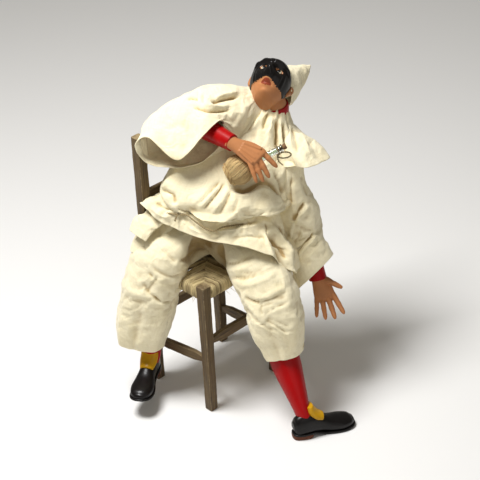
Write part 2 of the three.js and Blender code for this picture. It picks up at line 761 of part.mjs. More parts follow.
// Left shoulder layer, sleeve and turned-back cuff
function leftSleeve() {
  const capFolds = folds([
    { at: 200, width: 16, height: 4, from: 0.1, to: 1 },
    { at: 235, width: 12, height: -4, from: 0.1, to: 1 },
    { at: 270, width: 14, height: 3, from: 0.2, to: 1 },
    { at: 320, width: 16, height: -2, from: 0.3, to: 1 },
  ]);
  const turnedFolds = (angle, along) => capFolds(Math.PI - angle, along);
  const back = vector(-1, 0, 0);
  const cap = loft(
    [
      { at: body(66, 26, 122), wide: 12, deep: 13, side: back, axis: vector(0.5, -0.3, -0.8) },
      { at: body(78, 18, 113), wide: 16, deep: 17, side: back, axis: vector(0.4, -0.3, -0.85) },
      { at: body(88, 9, 104), wide: 19, deep: 20, side: back, axis: vector(0.3, -0.3, -0.9) },
      { at: body(95, 1, 97), wide: 20.5, deep: 21, side: back, axis: vector(0.1, -0.25, -0.95) },
    ],
    { sides: 12, steps: 2, relief: turnedFolds, open: true },
  );
  const sleeveFolds = folds([
    { at: 215, width: 14, height: 3, from: 0.2, to: 0.9 },
    { at: 250, width: 12, height: -3, from: 0.2, to: 0.9 },
    { at: 300, width: 16, height: 2, from: 0.3, to: 1 },
  ]);
  const turnedSleeve = (angle, along) => sleeveFolds(Math.PI - angle, along);
  const sleeve = loft(
    [
      { at: body(84, 6, 108), wide: 14, deep: 14, side: back },
      { at: body(86, 0, 78), wide: 15, deep: 15, side: back },
      { at: body(89, -5, 52), wide: 18, deep: 17, side: back },
      { at: body(90, -10, 28), wide: 18, deep: 16, side: back },
      { at: body(92, -14, 12), wide: 16, deep: 14, side: back },
    ],
    { sides: 12, steps: 2, relief: turnedSleeve },
  );
  const axis = vector(0.6, -0.3, -0.6);
  const cuff = loft(
    [
      { at: body(90, -12, 17), wide: 18, deep: 15, side: vector(-0.63, 0, -0.77), axis },
      { at: body(94, -16, 2), wide: 23, deep: 17, side: vector(-0.68, 0, -0.73), axis },
      { at: body(98, -20, -13), wide: 27, deep: 17, side: vector(-0.73, 0, -0.68), axis },
    ],
    { sides: 12, steps: 1, open: true },
  );
  return join([cap, sleeve, cuff]);
}

// Head in its own axes: chin down, face along -Y, then thrown back
const HEAD_CENTRE = body(66, 31, 163);
const HEAD_UP = vector(0.367, 0.884, 0.29).normalize();
const HEAD_LEFT = vector(0.928, -0.326, -0.18);
const HEAD_SHARES = vector(17.6, 20.5, 24.5);

function bump(point, centre, reach) {
  const d = point.clone().sub(centre).divide(reach);
  return Math.exp(-d.lengthSq());
}

function carvedHead(grow) {
  const front = -HEAD_SHARES.y;
  const geometry = new THREE.SphereGeometry(1, 20, 14);
  geometry.rotateX(Math.PI / 2);
  const place = geometry.getAttribute("position");
  for (let i = 0; i < place.count; i += 1) {
    const unit = vector(place.getX(i), place.getY(i), place.getZ(i));
    const low = Math.max(0, -unit.z);
    const forward = Math.max(0, -unit.y);
    const p = unit.clone().multiply(HEAD_SHARES);
    p.x *= 1 - 0.28 * low * low;
    p.y += 3.5 * low * (1 - forward);
    p.y -= 8.5 * bump(p, vector(0, front, -4.5), vector(4, 9, 6.5));
    p.y -= 3 * bump(p, vector(0, front, 7.5), vector(13, 9, 3.6));
    for (const eye of [-1, 1]) {
      p.y += 2.6 * bump(p, vector(7 * eye, front, 1.5), vector(4, 9, 3.4));
      p.y -= 2.2 * bump(p, vector(9 * eye, front + 4, -7), vector(5, 9, 4));
    }
    p.y += 1.8 * bump(p, vector(0, front, -16), vector(6, 9, 2));
    p.y -= 3.2 * bump(p, vector(0, front + 3, -22), vector(5, 9, 3.6));
    p.addScaledVector(unit, grow);
    place.setXYZ(i, p.x, p.y, p.z);
  }
  return solid(geometry);
}

function ear(side, grow) {
  const x = side * (HEAD_SHARES.x - 0.5);
  const across = vector(0, 1, 0);
  return loft(
    [
      { at: vector(x - side * 1.5, 4, 5), wide: 1.6, deep: 1.2, side: across },
      { at: vector(x + side * 0.8, 4, 4), wide: 3.6, deep: 2, side: across },
      { at: vector(x + side * 0.6, 3, -2), wide: 3, deep: 1.8, side: across },
      { at: vector(x - side * 1.2, 2, -6), wide: 1.6, deep: 1.2, side: across },
    ],
    { sides: 6, steps: 1, grow },
  );
}

function head(grow = 0) {
  const skull = join([carvedHead(grow), ear(1, grow), ear(-1, grow)]);
  const back = HEAD_UP.clone().cross(HEAD_LEFT).normalize();
  const left = back.clone().cross(HEAD_UP);
  const matrix = new THREE.Matrix4().makeBasis(left, back, HEAD_UP).setPosition(HEAD_CENTRE);
  matrix.scale(vector(SCALE, SCALE, SCALE));
  const neck = loft(
    [
      { at: body(68, 29, 128), wide: 12, deep: 11, side: HEAD_LEFT },
      { at: body(70, 28, 140), wide: 11, deep: 10.5, side: HEAD_LEFT },
      { at: body(69, 26, 149), wide: 10, deep: 10, side: HEAD_LEFT },
      { at: body(66, 29, 161), wide: 10, deep: 10, side: HEAD_LEFT },
    ],
    { sides: 12, steps: 1, grow },
  );
  return skull.transform(matrix.elements).add(neck);
}

// Soft pointed cap, worn on the back of the head, its point fallen to one side
function hat() {
  const axis = vector(0.75, 0.62, 0.05);
  const side = vector(0, 0, 1);
  const creases = folds([
    { at: 60, width: 18, height: -2.5, from: 0.1, to: 0.9 },
    { at: 180, width: 16, height: -2, from: 0.2, to: 0.9 },
    { at: 320, width: 20, height: 2, from: 0, to: 0.7 },
  ]);
  return loft(
    [
      { at: body(72, 44, 153), wide: 21, deep: 21, side, axis },
      { at: body(80, 51, 152), wide: 19, deep: 18, side, axis },
      { at: body(90, 60, 153), wide: 13, deep: 12, side, axis },
      { at: body(99, 67, 156), wide: 7, deep: 6, side, axis },
      { at: body(105, 71, 159), wide: 1.6, deep: 1.6, side, axis },
    ],
    { sides: 14, steps: 1, relief: creases },
  );
}

// Flask, written along +Z from the underside of its bulb
function bulbRadius(z) {
  const radius = BULB_DIAMETER / 2;
  const neck = NECK_DIAMETER / 2;
  const belly = Math.sqrt(Math.max(0, radius ** 2 - (z - radius) ** 2));
  const flare = z > FLASK_LENGTH - 2 ? (LIP_DIAMETER - NECK_DIAMETER) / 2 : 0;
  return z < radius ? belly : Math.max(belly, neck + flare);
}

function lathe(points, segments = 10) {
  const geometry = new THREE.LatheGeometry(points, segments);
  return solid(geometry.rotateX(Math.PI / 2));
}

function flaskGlass(grow = 0) {
  const outline = [new THREE.Vector2(0, -grow)];
  const levels = 6;
  for (let i = 1; i <= levels; i += 1) {
    const z = (BULB_DIAMETER * i) / levels;
    outline.push(new THREE.Vector2(bulbRadius(z) + grow, z));
  }
  outline.push(new THREE.Vector2(bulbRadius(FLASK_LENGTH - 2.1) + grow, FLASK_LENGTH - 2));
  outline.push(new THREE.Vector2(LIP_DIAMETER / 2 + grow, FLASK_LENGTH - 1.6));
  outline.push(new THREE.Vector2(LIP_DIAMETER / 2 + grow, FLASK_LENGTH + grow));
  if (grow > 0) {
    outline.push(new THREE.Vector2(0, FLASK_LENGTH + grow));
    return lathe(outline);
  }
  const inner = NECK_DIAMETER / 2 - GLASS_WALL;
  outline.push(new THREE.Vector2(inner, FLASK_LENGTH));
  for (let i = levels; i >= 1; i -= 1) {
    const z = (BULB_DIAMETER * i) / levels;
    outline.push(new THREE.Vector2(Math.max(bulbRadius(z) - GLASS_WALL, inner), z));
  }
  outline.push(new THREE.Vector2(0, GLASS_WALL));
  return lathe(outline);
}

// Straw cover from the underside of the bulb to its shoulder, filled where the glass sits
function flaskStraw(grow = 0) {
  const levels = 6;
  const outline = [new THREE.Vector2(0, -STRAW_THICKNESS - GAP - grow)];
  for (let i = 1; i <= levels; i += 1) {
    const z = (STRAW_COVER * i) / levels;
    outline.push(new THREE.Vector2(bulbRadius(z) + GAP + STRAW_THICKNESS + grow, z));
  }
  outline.push(new THREE.Vector2(0, STRAW_COVER + grow));
  return lathe(outline);
}

function flaskCork(grow = 0) {
  const bore = NECK_DIAMETER / 2 - GLASS_WALL - GAP;
  const low = FLASK_LENGTH - CORK_SEAT;
  const top = low + CORK_LENGTH;
  return lathe(
    [
      new THREE.Vector2(0, low - grow),
      new THREE.Vector2(bore * 0.9 + grow, low - grow),
      new THREE.Vector2(bore + grow, FLASK_LENGTH),
      new THREE.Vector2(bore * 1.15 + grow, top + grow),
      new THREE.Vector2(0, top + grow),
    ],
    8,
  );
}

// Twine tied round the neck, with a ring to hang it by and a loose tail, all from one knot
function flaskLoop(grow = 0) {
  const neck = NECK_DIAMETER / 2 + GAP + LOOP_TWINE / 2;
  const level = FLASK_LENGTH - 5;
  const radius = LOOP_DIAMETER / 2;
  const out = vector(0.77, -0.64, 0);
  const turn = (count, place) =>
    Array.from({ length: count }, (_, i) => place((2 * Math.PI * i) / count));
  const knot = out.clone().multiplyScalar(neck).setZ(level);
  const round = turn(12, (angle) => vector(neck * Math.cos(angle), neck * Math.sin(angle), level));
  const hanging = turn(12, (angle) => {
    const away = 0.8 * radius * (1 - Math.cos(angle));
    const along = radius * Math.sin(angle) + (LOOP_REACH * (1 - Math.cos(angle))) / 2;
    return knot.clone().addScaledVector(out, away).add(vector(0, 0, along));
  });
  const tail = [
    knot,
    knot.clone().add(vector(2, 1.5, -3)),
    knot.clone().add(vector(6, 2, -4)),
    knot.clone().add(vector(11, 2, -2)),
  ];
  return join([
    cord(round, LOOP_TWINE, { closed: true, steps: 9, sides: 4, grow }),
    cord(hanging, LOOP_TWINE, { closed: true, steps: 12, sides: 4, grow }),
    cord(tail, LOOP_TWINE, { steps: 3, sides: 4, grow }),
  ]);
}

const FLASK_BASE = body(21.4, -31.2, 104);
const FLASK_WAY = vector(38.5, 6, 16);
const FLASK_FRONT = vector(0, -0.8, 0.6);
const flaskPlaced = (piece) =>
  placed(piece.rotate([-90, 0, 0]), FLASK_BASE, FLASK_WAY, FLASK_FRONT);

// Belt: twine tied low round the hips on the top of the skirt, its two ends loose over the right hip
const BELT_ROUND = [
  [-36, -8, 70],
  [-25, -29.5, 74.5],
  [-17, -36, 67.5],
  [-9, -43.5, 64],
  [-1, -49.5, 60.5],
  [7, -51, 58],
  [16, -49, 60.5],
  [34, -42, 58],
  [55, -22, 48],
  [62, 4, 40],
  [46, 28, 38],
  [14, 34, 44],
  [-16, 26, 54],
  [-33, 10, 64],
];
const BELT_ENDS = [
  [
    [-20.5, -33, 70],
    [-20, -34.5, 67.5],
    [-27, -32, 66.5],
    [-36, -27.5, 66],
  ],
  [
    [-23, -31.5, 72],
    [-25, -32.5, 68.5],
    [-27, -34, 65.5],
    [-28.5, -38, 63],
  ],
];

function belt(grow = 0) {
  const points = (list) => list.map((p) => body(...p));
  const round = cord(points(BELT_ROUND), BELT_DIAMETER, { closed: true, steps: 26, sides: 4, grow });
  const ends = BELT_ENDS.map((list) => cord(points(list), BELT_DIAMETER, { steps: 4, sides: 4, grow }));
  return join([round, ...ends]);
}

const grownTrousers = trousers(GAP);
const grownArms = [rightArm(GAP), leftArm(GAP)];
const grownShins = [leftLeg(GAP), rightLeg(GAP)];
const grownFlask = [flaskStraw, flaskGlass, flaskCork, flaskLoop].map((made) => flaskPlaced(made(GAP)));
const grownHead = head(GAP);

const figure = new THREE.Group();
const smock = join([smockBody(), skirt(), tail(), rightSleeve(), leftSleeve()]);
const smockTools = [...chairTools, grownTrousers, ...grownArms, grownHead, ...grownFlask, belt(GAP)];
figure.add(mesh("smock", cut(smock, smockTools), CLOTH));
figure.add(mesh("trousers", cut(trousers(), [...chairTools, ...grownShins]), CLOTH));
figure.add(mesh("head", head(), SKIN));
figure.add(mesh("hat", cut(hat(), [grownHead]), CLOTH));
figure.add(mesh("right_arm", cut(rightArm(), [...chairTools, ...grownFlask]), SKIN));
figure.add(mesh("left_arm", leftArm(), SKIN));
figure.add(mesh("right_leg", cut(rightLeg(), chairTools), RED));
figure.add(mesh("left_leg", leftLeg(), RED));
figure.add(mesh("belt_cord", cut(belt(), [grownTrousers]), TWINE));
figure.add(mesh("flask_glass", flaskPlaced(flaskGlass()), GLASS));
const strawShell = flaskStraw().subtract(flaskGlass(GAP));
figure.add(mesh("flask_straw", flaskPlaced(strawShell), RUSH));
figure.add(mesh("flask_cork", flaskPlaced(flaskCork()), CORK));
figure.add(mesh("flask_loop", flaskPlaced(flaskLoop()), TWINE));

// The whole stands with its origin under the middle of its outline
const model = new THREE.Group();
model.add(chair, figure);
model.updateMatrixWorld(true);
const outline = new THREE.Box3().setFromObject(model, true);
const middle = outline.getCenter(vector(0, 0, 0));
model.position.set(-middle.x, -middle.y, -outline.min.z);
const part = new THREE.Group();
part.add(model);
export default part;
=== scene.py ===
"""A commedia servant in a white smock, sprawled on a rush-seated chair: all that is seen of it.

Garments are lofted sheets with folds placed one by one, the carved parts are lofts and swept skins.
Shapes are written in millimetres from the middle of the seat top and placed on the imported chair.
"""
import math
from collections import namedtuple

import bpy
import numpy as np
from mathutils import Matrix, Vector, noise


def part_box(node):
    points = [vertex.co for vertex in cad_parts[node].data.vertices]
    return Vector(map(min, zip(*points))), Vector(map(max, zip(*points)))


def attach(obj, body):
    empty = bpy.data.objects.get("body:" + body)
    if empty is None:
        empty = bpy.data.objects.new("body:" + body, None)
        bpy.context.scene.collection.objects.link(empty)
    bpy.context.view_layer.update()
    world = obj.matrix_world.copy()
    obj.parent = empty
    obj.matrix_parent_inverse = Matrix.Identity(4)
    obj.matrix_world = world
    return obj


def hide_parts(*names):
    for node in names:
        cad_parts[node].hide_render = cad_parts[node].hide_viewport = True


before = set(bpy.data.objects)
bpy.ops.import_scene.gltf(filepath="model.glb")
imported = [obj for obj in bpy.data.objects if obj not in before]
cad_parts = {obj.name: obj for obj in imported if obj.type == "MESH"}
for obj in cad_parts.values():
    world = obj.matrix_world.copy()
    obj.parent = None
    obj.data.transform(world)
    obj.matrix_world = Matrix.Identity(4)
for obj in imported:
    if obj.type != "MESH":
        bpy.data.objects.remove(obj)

bl_info = {
    "name": "Commedia Servant on a Rush Chair",
    "version": (1, 0, 0),
    "blender": (4, 5, 0),
    "location": "3D Viewport > Sidebar > Servant",
    "description": "Builds the clothes, carving, chair and flask of a seated puppet servant",
    "category": "Add Mesh",
}

MM = 0.001

# The chair's legs by their corner, each a CAD node
CHAIR_LEGS = {
    "front_right": "chair_front_right_leg",
    "front_left": "chair_front_left_leg",
    "back_right": "chair_back_right_post",
    "back_left": "chair_back_left_post",
}

# The photograph's camera, in millimetres from the middle of the seat top
PICTURE_SIZE = 480
CAMERA_TARGET = np.array([30.2, 0.0, 15.0])
CAMERA_DISTANCE = 1700.0
CAMERA_ELEVATION = math.radians(32)
CAMERA_ROLL = math.radians(3.2)
FOCAL_PIXELS = 1790.0
SENSOR_WIDTH = 36.0

Station = namedtuple("Station", "at wide deep side axis", defaults=(None,))
Crease = namedtuple("Crease", "line rise left right")
Pull = namedtuple("Pull", "at reach shift")
Fold = namedtuple("Fold", "at width height start end drift", defaults=(0.0, 1.0, 0.0))
Patch = namedtuple("Patch", "verts faces corners shade")


def station_rows(*rows, side=None, axis=None):
    """Stations of a loft, from rows of x, y, z, half width and half depth.

    A side and an axis stand in each row, or once for all of them.
    """
    return [Station(row[:3], *row[3:5], *(row[5:] or (side, axis))) for row in rows]


def crease_rows(*rows):
    """Folds placed one by one, from rows of rise, left and right width, and points of the picture.
    """
    return [Crease(row[3:], *row[:3]) for row in rows]


def fold_rows(*rows):
    """Folds along a garment, from rows of angle, width, height, start, end and drift."""
    return [Fold(*row) for row in rows]


def linear(code):
    """Scene colour of a six-digit paint code."""
    parts = [int(code[i : i + 2], 16) / 255 for i in (0, 2, 4)]
    return [p / 12.92 if p <= 0.04045 else ((p + 0.055) / 1.055) ** 2.4 for p in parts]


def unit(vectors):
    """Vectors at length one."""
    vectors = np.asarray(vectors, float)
    return vectors / np.maximum(np.linalg.norm(vectors, axis=-1, keepdims=True), 1e-12)


def chair_origin():
    """Middle of the four legs, at the height of the seat top, in metres."""
    middles = [sum(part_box(name), Vector()) / 2 for name in CHAIR_LEGS.values()]
    middle = sum(middles, Vector()) / 4
    return np.array([middle.x, middle.y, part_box("rush_seat")[1].z])


ORIGIN = chair_origin()
FLOOR_LEVEL = -ORIGIN[2] / MM


def place(points):
    """Points of the figure in metres in the row frame."""
    return ORIGIN + np.asarray(points, float) * MM


def unplace(points):
    """Points of the row frame in the figure's millimetres."""
    return (np.asarray(points, float) - ORIGIN) / MM


def leg_middle(corner):
    """Middle of a chair leg in plan, in the figure's millimetres."""
    low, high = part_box(CHAIR_LEGS[corner])
    return unplace((low + high) / 2)[:2]


# Seen from the camera
def camera_axes():
    """Right, up and forward directions of the photograph."""
    level = np.array([1.0, 0.0, 0.0])
    forward = np.array([0.0, math.cos(CAMERA_ELEVATION), -math.sin(CAMERA_ELEVATION)])
    upright = np.cross(level, forward)
    right = math.cos(CAMERA_ROLL) * level - math.sin(CAMERA_ROLL) * upright
    up = math.sin(CAMERA_ROLL) * level + math.cos(CAMERA_ROLL) * upright
    return right, up, forward


RIGHT, UP, FORWARD = camera_axes()
CAMERA_PLACE = CAMERA_TARGET - CAMERA_DISTANCE * FORWARD


def picture_point(points):
    """Where points of the figure fall in the photograph, in its pixels."""
    away = np.asarray(points, float) - CAMERA_PLACE
    depth = away @ FORWARD
    half = PICTURE_SIZE / 2
    across = half + FOCAL_PIXELS * (away @ RIGHT) / depth
    down = half - FOCAL_PIXELS * (away @ UP) / depth
    return np.stack([across, down], axis=-1)


# Curves and skins
def spline(points, count, closed=False):
    """Smooth curve through the points, with equal steps between neighbours."""
    points = np.asarray(points, float)
    number = len(points)
    last = number if closed else number - 1
    share = np.linspace(0, last, count, endpoint=not closed)
    index = np.minimum(share.astype(int), last - 1)
    part = (share - index)[:, None]
    if closed:
        before, here, there, after = (points[(index + k) % number] for k in (-1, 0, 1, 2))
    else:
        ends = np.vstack([2 * points[0] - points[1], points, 2 * points[-1] - points[-2]])
        before, here, there, after = (ends[index + k] for k in (0, 1, 2, 3))
    bend = 2 * here + (there - before) * part
    bend += (2 * before - 5 * here + 4 * there - after) * part**2
    bend += (3 * here - before - 3 * there + after) * part**3
    return bend / 2


def lengths(path):
    """Length along a path up to each of its points."""
    return np.concatenate([[0], np.cumsum(np.linalg.norm(np.diff(path, axis=0), axis=1))])


def circle(count):
    """Angles in equal steps round a full turn."""
    return np.linspace(0, 2 * np.pi, count, endpoint=False)


def even(points, count, closed=False):
    """Smooth curve through the points, with steps of equal length."""
    fine = spline(points, 40 * len(points), closed)
    if closed:
        fine = np.vstack([fine, fine[:1]])
    length = lengths(fine)
    places = np.linspace(0, length[-1], count, endpoint=not closed)
    return np.stack([np.interp(places, length, fine[:, k]) for k in range(fine.shape[1])], axis=1)


def loft(stations, around, rings, relief=None):
    """Rings of points through stations, smooth in centre, width, depth and direction."""
    at = spline([s.at for s in stations], rings)
    size = spline([(s.wide, s.deep) for s in stations], rings)
    side = spline([s.side for s in stations], rings)
    if stations[0].axis is None:
        axis = np.gradient(at, axis=0)
    else:
        axis = spline([s.axis for s in stations], rings)
    axis = unit(axis)
    back = unit(np.cross(axis, side))
    side = np.cross(back, axis)
    angle = circle(around)
    along = np.linspace(0, 1, rings)
    extra = 0.0 if relief is None else relief(angle[None, :], along[:, None])
    across = np.cos(angle)[None, :] * (size[:, :1] + extra)
    away = np.sin(angle)[None, :] * (size[:, 1:] + extra)
    return at[:, None] + side[:, None] * across[..., None] + back[:, None] * away[..., None]


def outward(grid):
    """Directions that point out of a tube of rings."""
    across = np.roll(grid, -1, axis=1) - np.roll(grid, 1, axis=1)
    along = np.gradient(grid, axis=0)
    normal = unit(np.cross(across, along))
    centre = grid.mean(axis=1, keepdims=True)
    return normal if (normal * (grid - centre)).sum() > 0 else -normal


def round_end(grid, reach, steps=3, last=True):
    """The tube closed by a rounded end that stands out by reach."""
    ring = grid[-1] if last else grid[0]
    inside = grid[-2] if last else grid[1]
    centre = ring.mean(axis=0)
    way = unit(centre - inside.mean(axis=0))
    rings = []
    for k in range(1, steps + 1):
        turn = k / steps * math.pi / 2
        size = max(math.cos(turn), 0.03)
        rings.append(centre + (ring - centre) * size + way * reach * math.sin(turn))
    return np.concatenate([grid, rings]) if last else np.concatenate([rings[::-1], grid])


def capped(grid, first, last, steps=3):
    """The tube with both ends rounded."""
    return round_end(round_end(grid, first, steps, last=False), last, steps)


def closed_loft(stations, around, rings, reach=(1.0, 1.0)):
    """A loft with rounded ends."""
    return capped(loft(stations, around, rings), *reach)


def sweep(path, radius, sides, closed=False):
    """Tube of a given radius along a path, in rings of points."""
    path = np.asarray(path, float)
    if closed:
        way = unit(np.roll(path, -1, axis=0) - np.roll(path, 1, axis=0))
    else:
        way = unit(np.gradient(path, axis=0))
    side = np.zeros_like(path)
    start = np.cross(way[0], [0.0, 0.0, 1.0])
    if np.linalg.norm(start) < 0.1:
        start = np.cross(way[0], [1.0, 0.0, 0.0])
    side[0] = unit(start)
    for k in range(1, len(path)):
        side[k] = unit(side[k - 1] - way[k] * (side[k - 1] @ way[k]))
    back = np.cross(way, side)
    radius = np.broadcast_to(np.asarray(radius, float), (len(path),))[:, None, None]
    angle = circle(sides)[None, :, None]
    ring = side[:, None] * np.cos(angle) + back[:, None] * np.sin(angle)
    grid = path[:, None] + ring * radius
    return np.concatenate([grid, grid[:1]]) if closed else grid


PLY_SIDES = 7
PLY_SWELL = 1.12


def twisted(path, diameter, plies, lay, closed=False):
    """Strands of twine laid round each other along a path, one turn in each lay."""
    path = np.asarray(path, float)
    length = lengths(np.vstack([path, path[:1]]) if closed else path)
    turns = max(1, round(length[-1] / lay)) if closed else length[-1] / lay
    phase = length[: len(path)] / length[-1] * turns * 2 * np.pi
    way = unit(np.gradient(path, axis=0))
    side = unit(np.cross(way, [0.13, 0.21, 0.97]))
    back = np.cross(way, side)
    strand = diameter / (2 if plies == 2 else 2.15)
    offset = diameter / 2 - strand / 2
    grids = []
    for ply in range(plies):
        turn = (phase + 2 * np.pi * ply / plies)[:, None]
        centre = path + (side * np.cos(turn) + back * np.sin(turn)) * offset
        grids.append(sweep(centre, strand / 2 * PLY_SWELL, PLY_SIDES, closed))
    return grids


# Folds
FOLD_DEPTH = 1.5
FOLD_WIDTH = 1.05
FOLD_FADE = 0.22
FOLD_SHARPNESS = 1.15
FACING_LEAST = 0.35


def crease_height(pixels, drawn):
    """Height of the listed folds at points of the picture, in millimetres."""
    total = np.zeros(len(pixels))
    for crease in drawn:
        line = even(np.array(crease.line, float), 14)
        nearest = np.full(len(pixels), 1e9)
        side = np.zeros(len(pixels))
        share = np.zeros(len(pixels))
        for k in range(len(line) - 1):
            step = line[k + 1] - line[k]
            away = pixels - line[k]
            part = np.clip((away @ step) / (step @ step), 0, 1)
            gap = np.linalg.norm(away - part[:, None] * step, axis=1)
            closer = gap < nearest
            nearest = np.where(closer, gap, nearest)
            cross = step[0] * away[:, 1] - step[1] * away[:, 0]
            side = np.where(closer, cross, side)
            share = np.where(closer, (k + part) / (len(line) - 1), share)
        width = np.where(side > 0, crease.right, crease.left)
        fade = np.clip(np.minimum(share, 1 - share) / FOLD_FADE, 0, 1)
        fade = fade * fade * (3 - 2 * fade)
        reach = nearest / width / FOLD_WIDTH
        total += FOLD_DEPTH * crease.rise * fade * np.exp(-(reach**FOLD_SHARPNESS))
    return total


def creased(grid, drawn):
    """The grid with its folds raised where it faces the picture."""
    normal = outward(grid)
    facing = (normal * unit(CAMERA_PLACE - grid)).sum(axis=-1)
    share = np.clip(facing, 0, FACING_LEAST) / FACING_LEAST
    flat = crease_height(picture_point(grid.reshape(-1, 3)), drawn)
    height = flat.reshape(grid.shape[:2]) * share
    return grid + normal * height[..., None]


def ripples(grid, size, depth, seed):
    """Uneven rise and fall of loose cloth, as heights over a grid."""
    flat = grid.reshape(-1, 3) / size + seed
    values = [noise.fractal(Vector(p), 0.9, 2.1, 3) for p in flat]
    return np.array(values).reshape(grid.shape[:2]) * depth


# Unless it is set, noise_vector's own offset comes from the clock
NOISE_SEED = 12
CRUMPLE_WAYS = 4
RIDGE_ROUND = 0.0015
RIDGE_MEAN = 0.26


def crumple(grid, size, depth, seed, lean):
    """Broken creases of stiff cotton: facets that meet in soft ridges, as heights over a grid."""
    generator = np.random.default_rng(int(seed * 10))
    noise.seed_set(NOISE_SEED)
    flat = grid.reshape(-1, 3)
    warp = [noise.noise_vector(Vector(p / (size * 1.7) + seed)) for p in flat]
    flat = flat + np.array(warp) * size * 0.5
    total = np.zeros(len(flat))
    for _ in range(CRUMPLE_WAYS):
        phase = flat @ unit(generator.normal(size=3) * lean) / size + generator.uniform()
        total += np.sqrt((phase % 1 - 0.5) ** 2 + RIDGE_ROUND) - RIDGE_MEAN
    patchy = [0.5 + 0.9 * noise.noise(Vector(p / (size * 2.2) - seed)) for p in flat]
    return (total * np.clip(patchy, 0.1, 1)).reshape(grid.shape[:2]) * depth


# Cloth simulation, run ten times as large as life
SLACK_SCALE = 0.01
SLACK_FRAMES = 22
SLACK_SETTINGS = {
    "quality": 5,
    "mass": 0.3,
    "tension_stiffness": 30.0,
    "compression_stiffness": 30.0,
    "shear_stiffness": 12.0,
    "bending_stiffness": 0.3,
    "vertex_group_mass": "Held",
    "pin_stiffness": 1.0,
}
SLACK_GRAVITY = 0.15


def slackened(grid, growth, hold, limit):
    """The panel after its spare length has buckled it, no point more than limit from its place.

    hold gives each ring's grip on its place, from 0, free, to 1, fixed.
    """
    full = grid
    rows = np.linspace(0, len(full) - 1, len(full) // 2).round().astype(int)
    columns = np.arange(0, full.shape[1], 2)
    grid = full[rows][:, columns]
    rings, around = grid.shape[:2]
    mesh = bpy.data.meshes.new("Slack Cloth")
    mesh.from_pydata((grid.reshape(-1, 3) * SLACK_SCALE).tolist(), [], patch(grid).faces.tolist())
    panel = bpy.data.objects.new("Slack Cloth", mesh)
    scene = bpy.context.scene
    scene.collection.objects.link(panel)
    held = panel.vertex_groups.new(name="Held")
    grip = np.interp(np.linspace(0, 1, rings), np.linspace(0, 1, len(hold)), hold)
    for ring in range(rings):
        held.add(list(range(ring * around, (ring + 1) * around)), float(grip[ring]), "REPLACE")
    cloth = panel.modifiers.new("Cloth", "CLOTH")
    for key, value in {**SLACK_SETTINGS, "shrink_min": -growth}.items():
        setattr(cloth.settings, key, value)
    cloth.settings.effector_weights.gravity = SLACK_GRAVITY
    cloth.collision_settings.use_collision = False
    cloth.point_cache.frame_end = SLACK_FRAMES
    for number in range(1, SLACK_FRAMES + 1):
        scene.frame_set(number)
    graph = bpy.context.evaluated_depsgraph_get()
    buckled = panel.evaluated_get(graph).data
    moved = np.empty(rings * around * 3, np.float32)
    buckled.vertices.foreach_get("co", moved)
    moved = moved.reshape(rings, around, 3) / SLACK_SCALE
    scene.frame_set(1)
    bpy.data.objects.remove(panel)
    bpy.data.meshes.remove(mesh)
    shift = moved - grid
    length = np.maximum(np.linalg.norm(shift, axis=2, keepdims=True), 1e-9)
    shift = shift * (limit * np.tanh(length / limit) / length)
    shift = shift * (1 - grip**2)[:, None, None]
    shift = np.concatenate([shift, shift[:, :1]], axis=1)
    columns = np.append(columns, full.shape[1])
    every_row, every_column = np.arange(len(full)), np.arange(full.shape[1])
    wide = np.empty((len(rows), full.shape[1], 3))
    whole = np.empty_like(full)
    for axis in range(3):
        for k in range(len(rows)):
            wide[k, :, axis] = np.interp(every_column, columns, shift[k, :, axis])
        for k in range(full.shape[1]):
            whole[:, k, axis] = np.interp(every_row, rows, wide[:, k, axis])
    return full + whole


# How far the cloth stands above its surroundings sets the painted shade in its folds
HOLLOW_PASSES = 14


def hollow(grid):
    """How far each point stands above the cloth round it, in millimetres, less than 0 in folds."""
    soft = grid.copy()
    for _ in range(HOLLOW_PASSES):
        soft = (np.roll(soft, 1, axis=1) + np.roll(soft, -1, axis=1) + 2 * soft) / 4
        padded = np.concatenate([soft[:1], soft, soft[-1:]])
        soft = (padded[:-2] + padded[2:] + 2 * soft) / 4
    return ((grid - soft) * outward(soft)).sum(axis=2)


HEM_DEPTH = 5.0
HEM_THICKNESS = 0.9


def turned_hem(grid):
    """The grid with its last edge turned to the inside, as a sewn hem is."""
    normal = outward(grid)[-1]
    back = unit(grid[-3] - grid[-1])
    turn = [(-0.45, 0.25), (-0.45, 0.75), (0.4, 1), (HEM_DEPTH, 1), (HEM_DEPTH + 0.3, 0.3)]
    rings = [grid[-1] + back * up - normal * HEM_THICKNESS * share for up, share in turn]
    return np.concatenate([grid, rings])


# Meshes
def patch(grid, shade=0.0):
    """Rings of points as a patch of mesh with its own flat lengths as texture coordinates."""
    rings, around = grid.shape[:2]
    number = np.arange(rings * around).reshape(rings, around)
    beside = np.roll(number, -1, axis=1)
    faces = np.stack([number[:-1], beside[:-1], beside[1:], number[1:]], axis=-1).reshape(-1, 4)
    loop = np.concatenate([grid, grid[:, :1]], axis=1)
    around_step = np.linalg.norm(np.diff(loop, axis=1), axis=2).mean(axis=0)
    u = np.concatenate([[0], np.cumsum(around_step)]) * MM
    along_step = np.linalg.norm(np.diff(grid, axis=0), axis=2).mean(axis=1)
    v = np.concatenate([[0], np.cumsum(along_step)]) * MM
    row, column = np.meshgrid(np.arange(rings - 1), np.arange(around), indexing="ij")
    corner = [(row, column), (row, column + 1), (row + 1, column + 1), (row + 1, column)]
    corners = np.stack([np.stack([u[c], v[r]], axis=-1) for r, c in corner], axis=2)
    value = np.full((rings, around), shade) if np.isscalar(shade) else shade
    if value.shape[0] < rings:
        value = np.concatenate([value, np.repeat(value[-1:], rings - value.shape[0], axis=0)])
    return Patch(grid.reshape(-1, 3), faces, corners.reshape(-1, 2), value.reshape(-1))


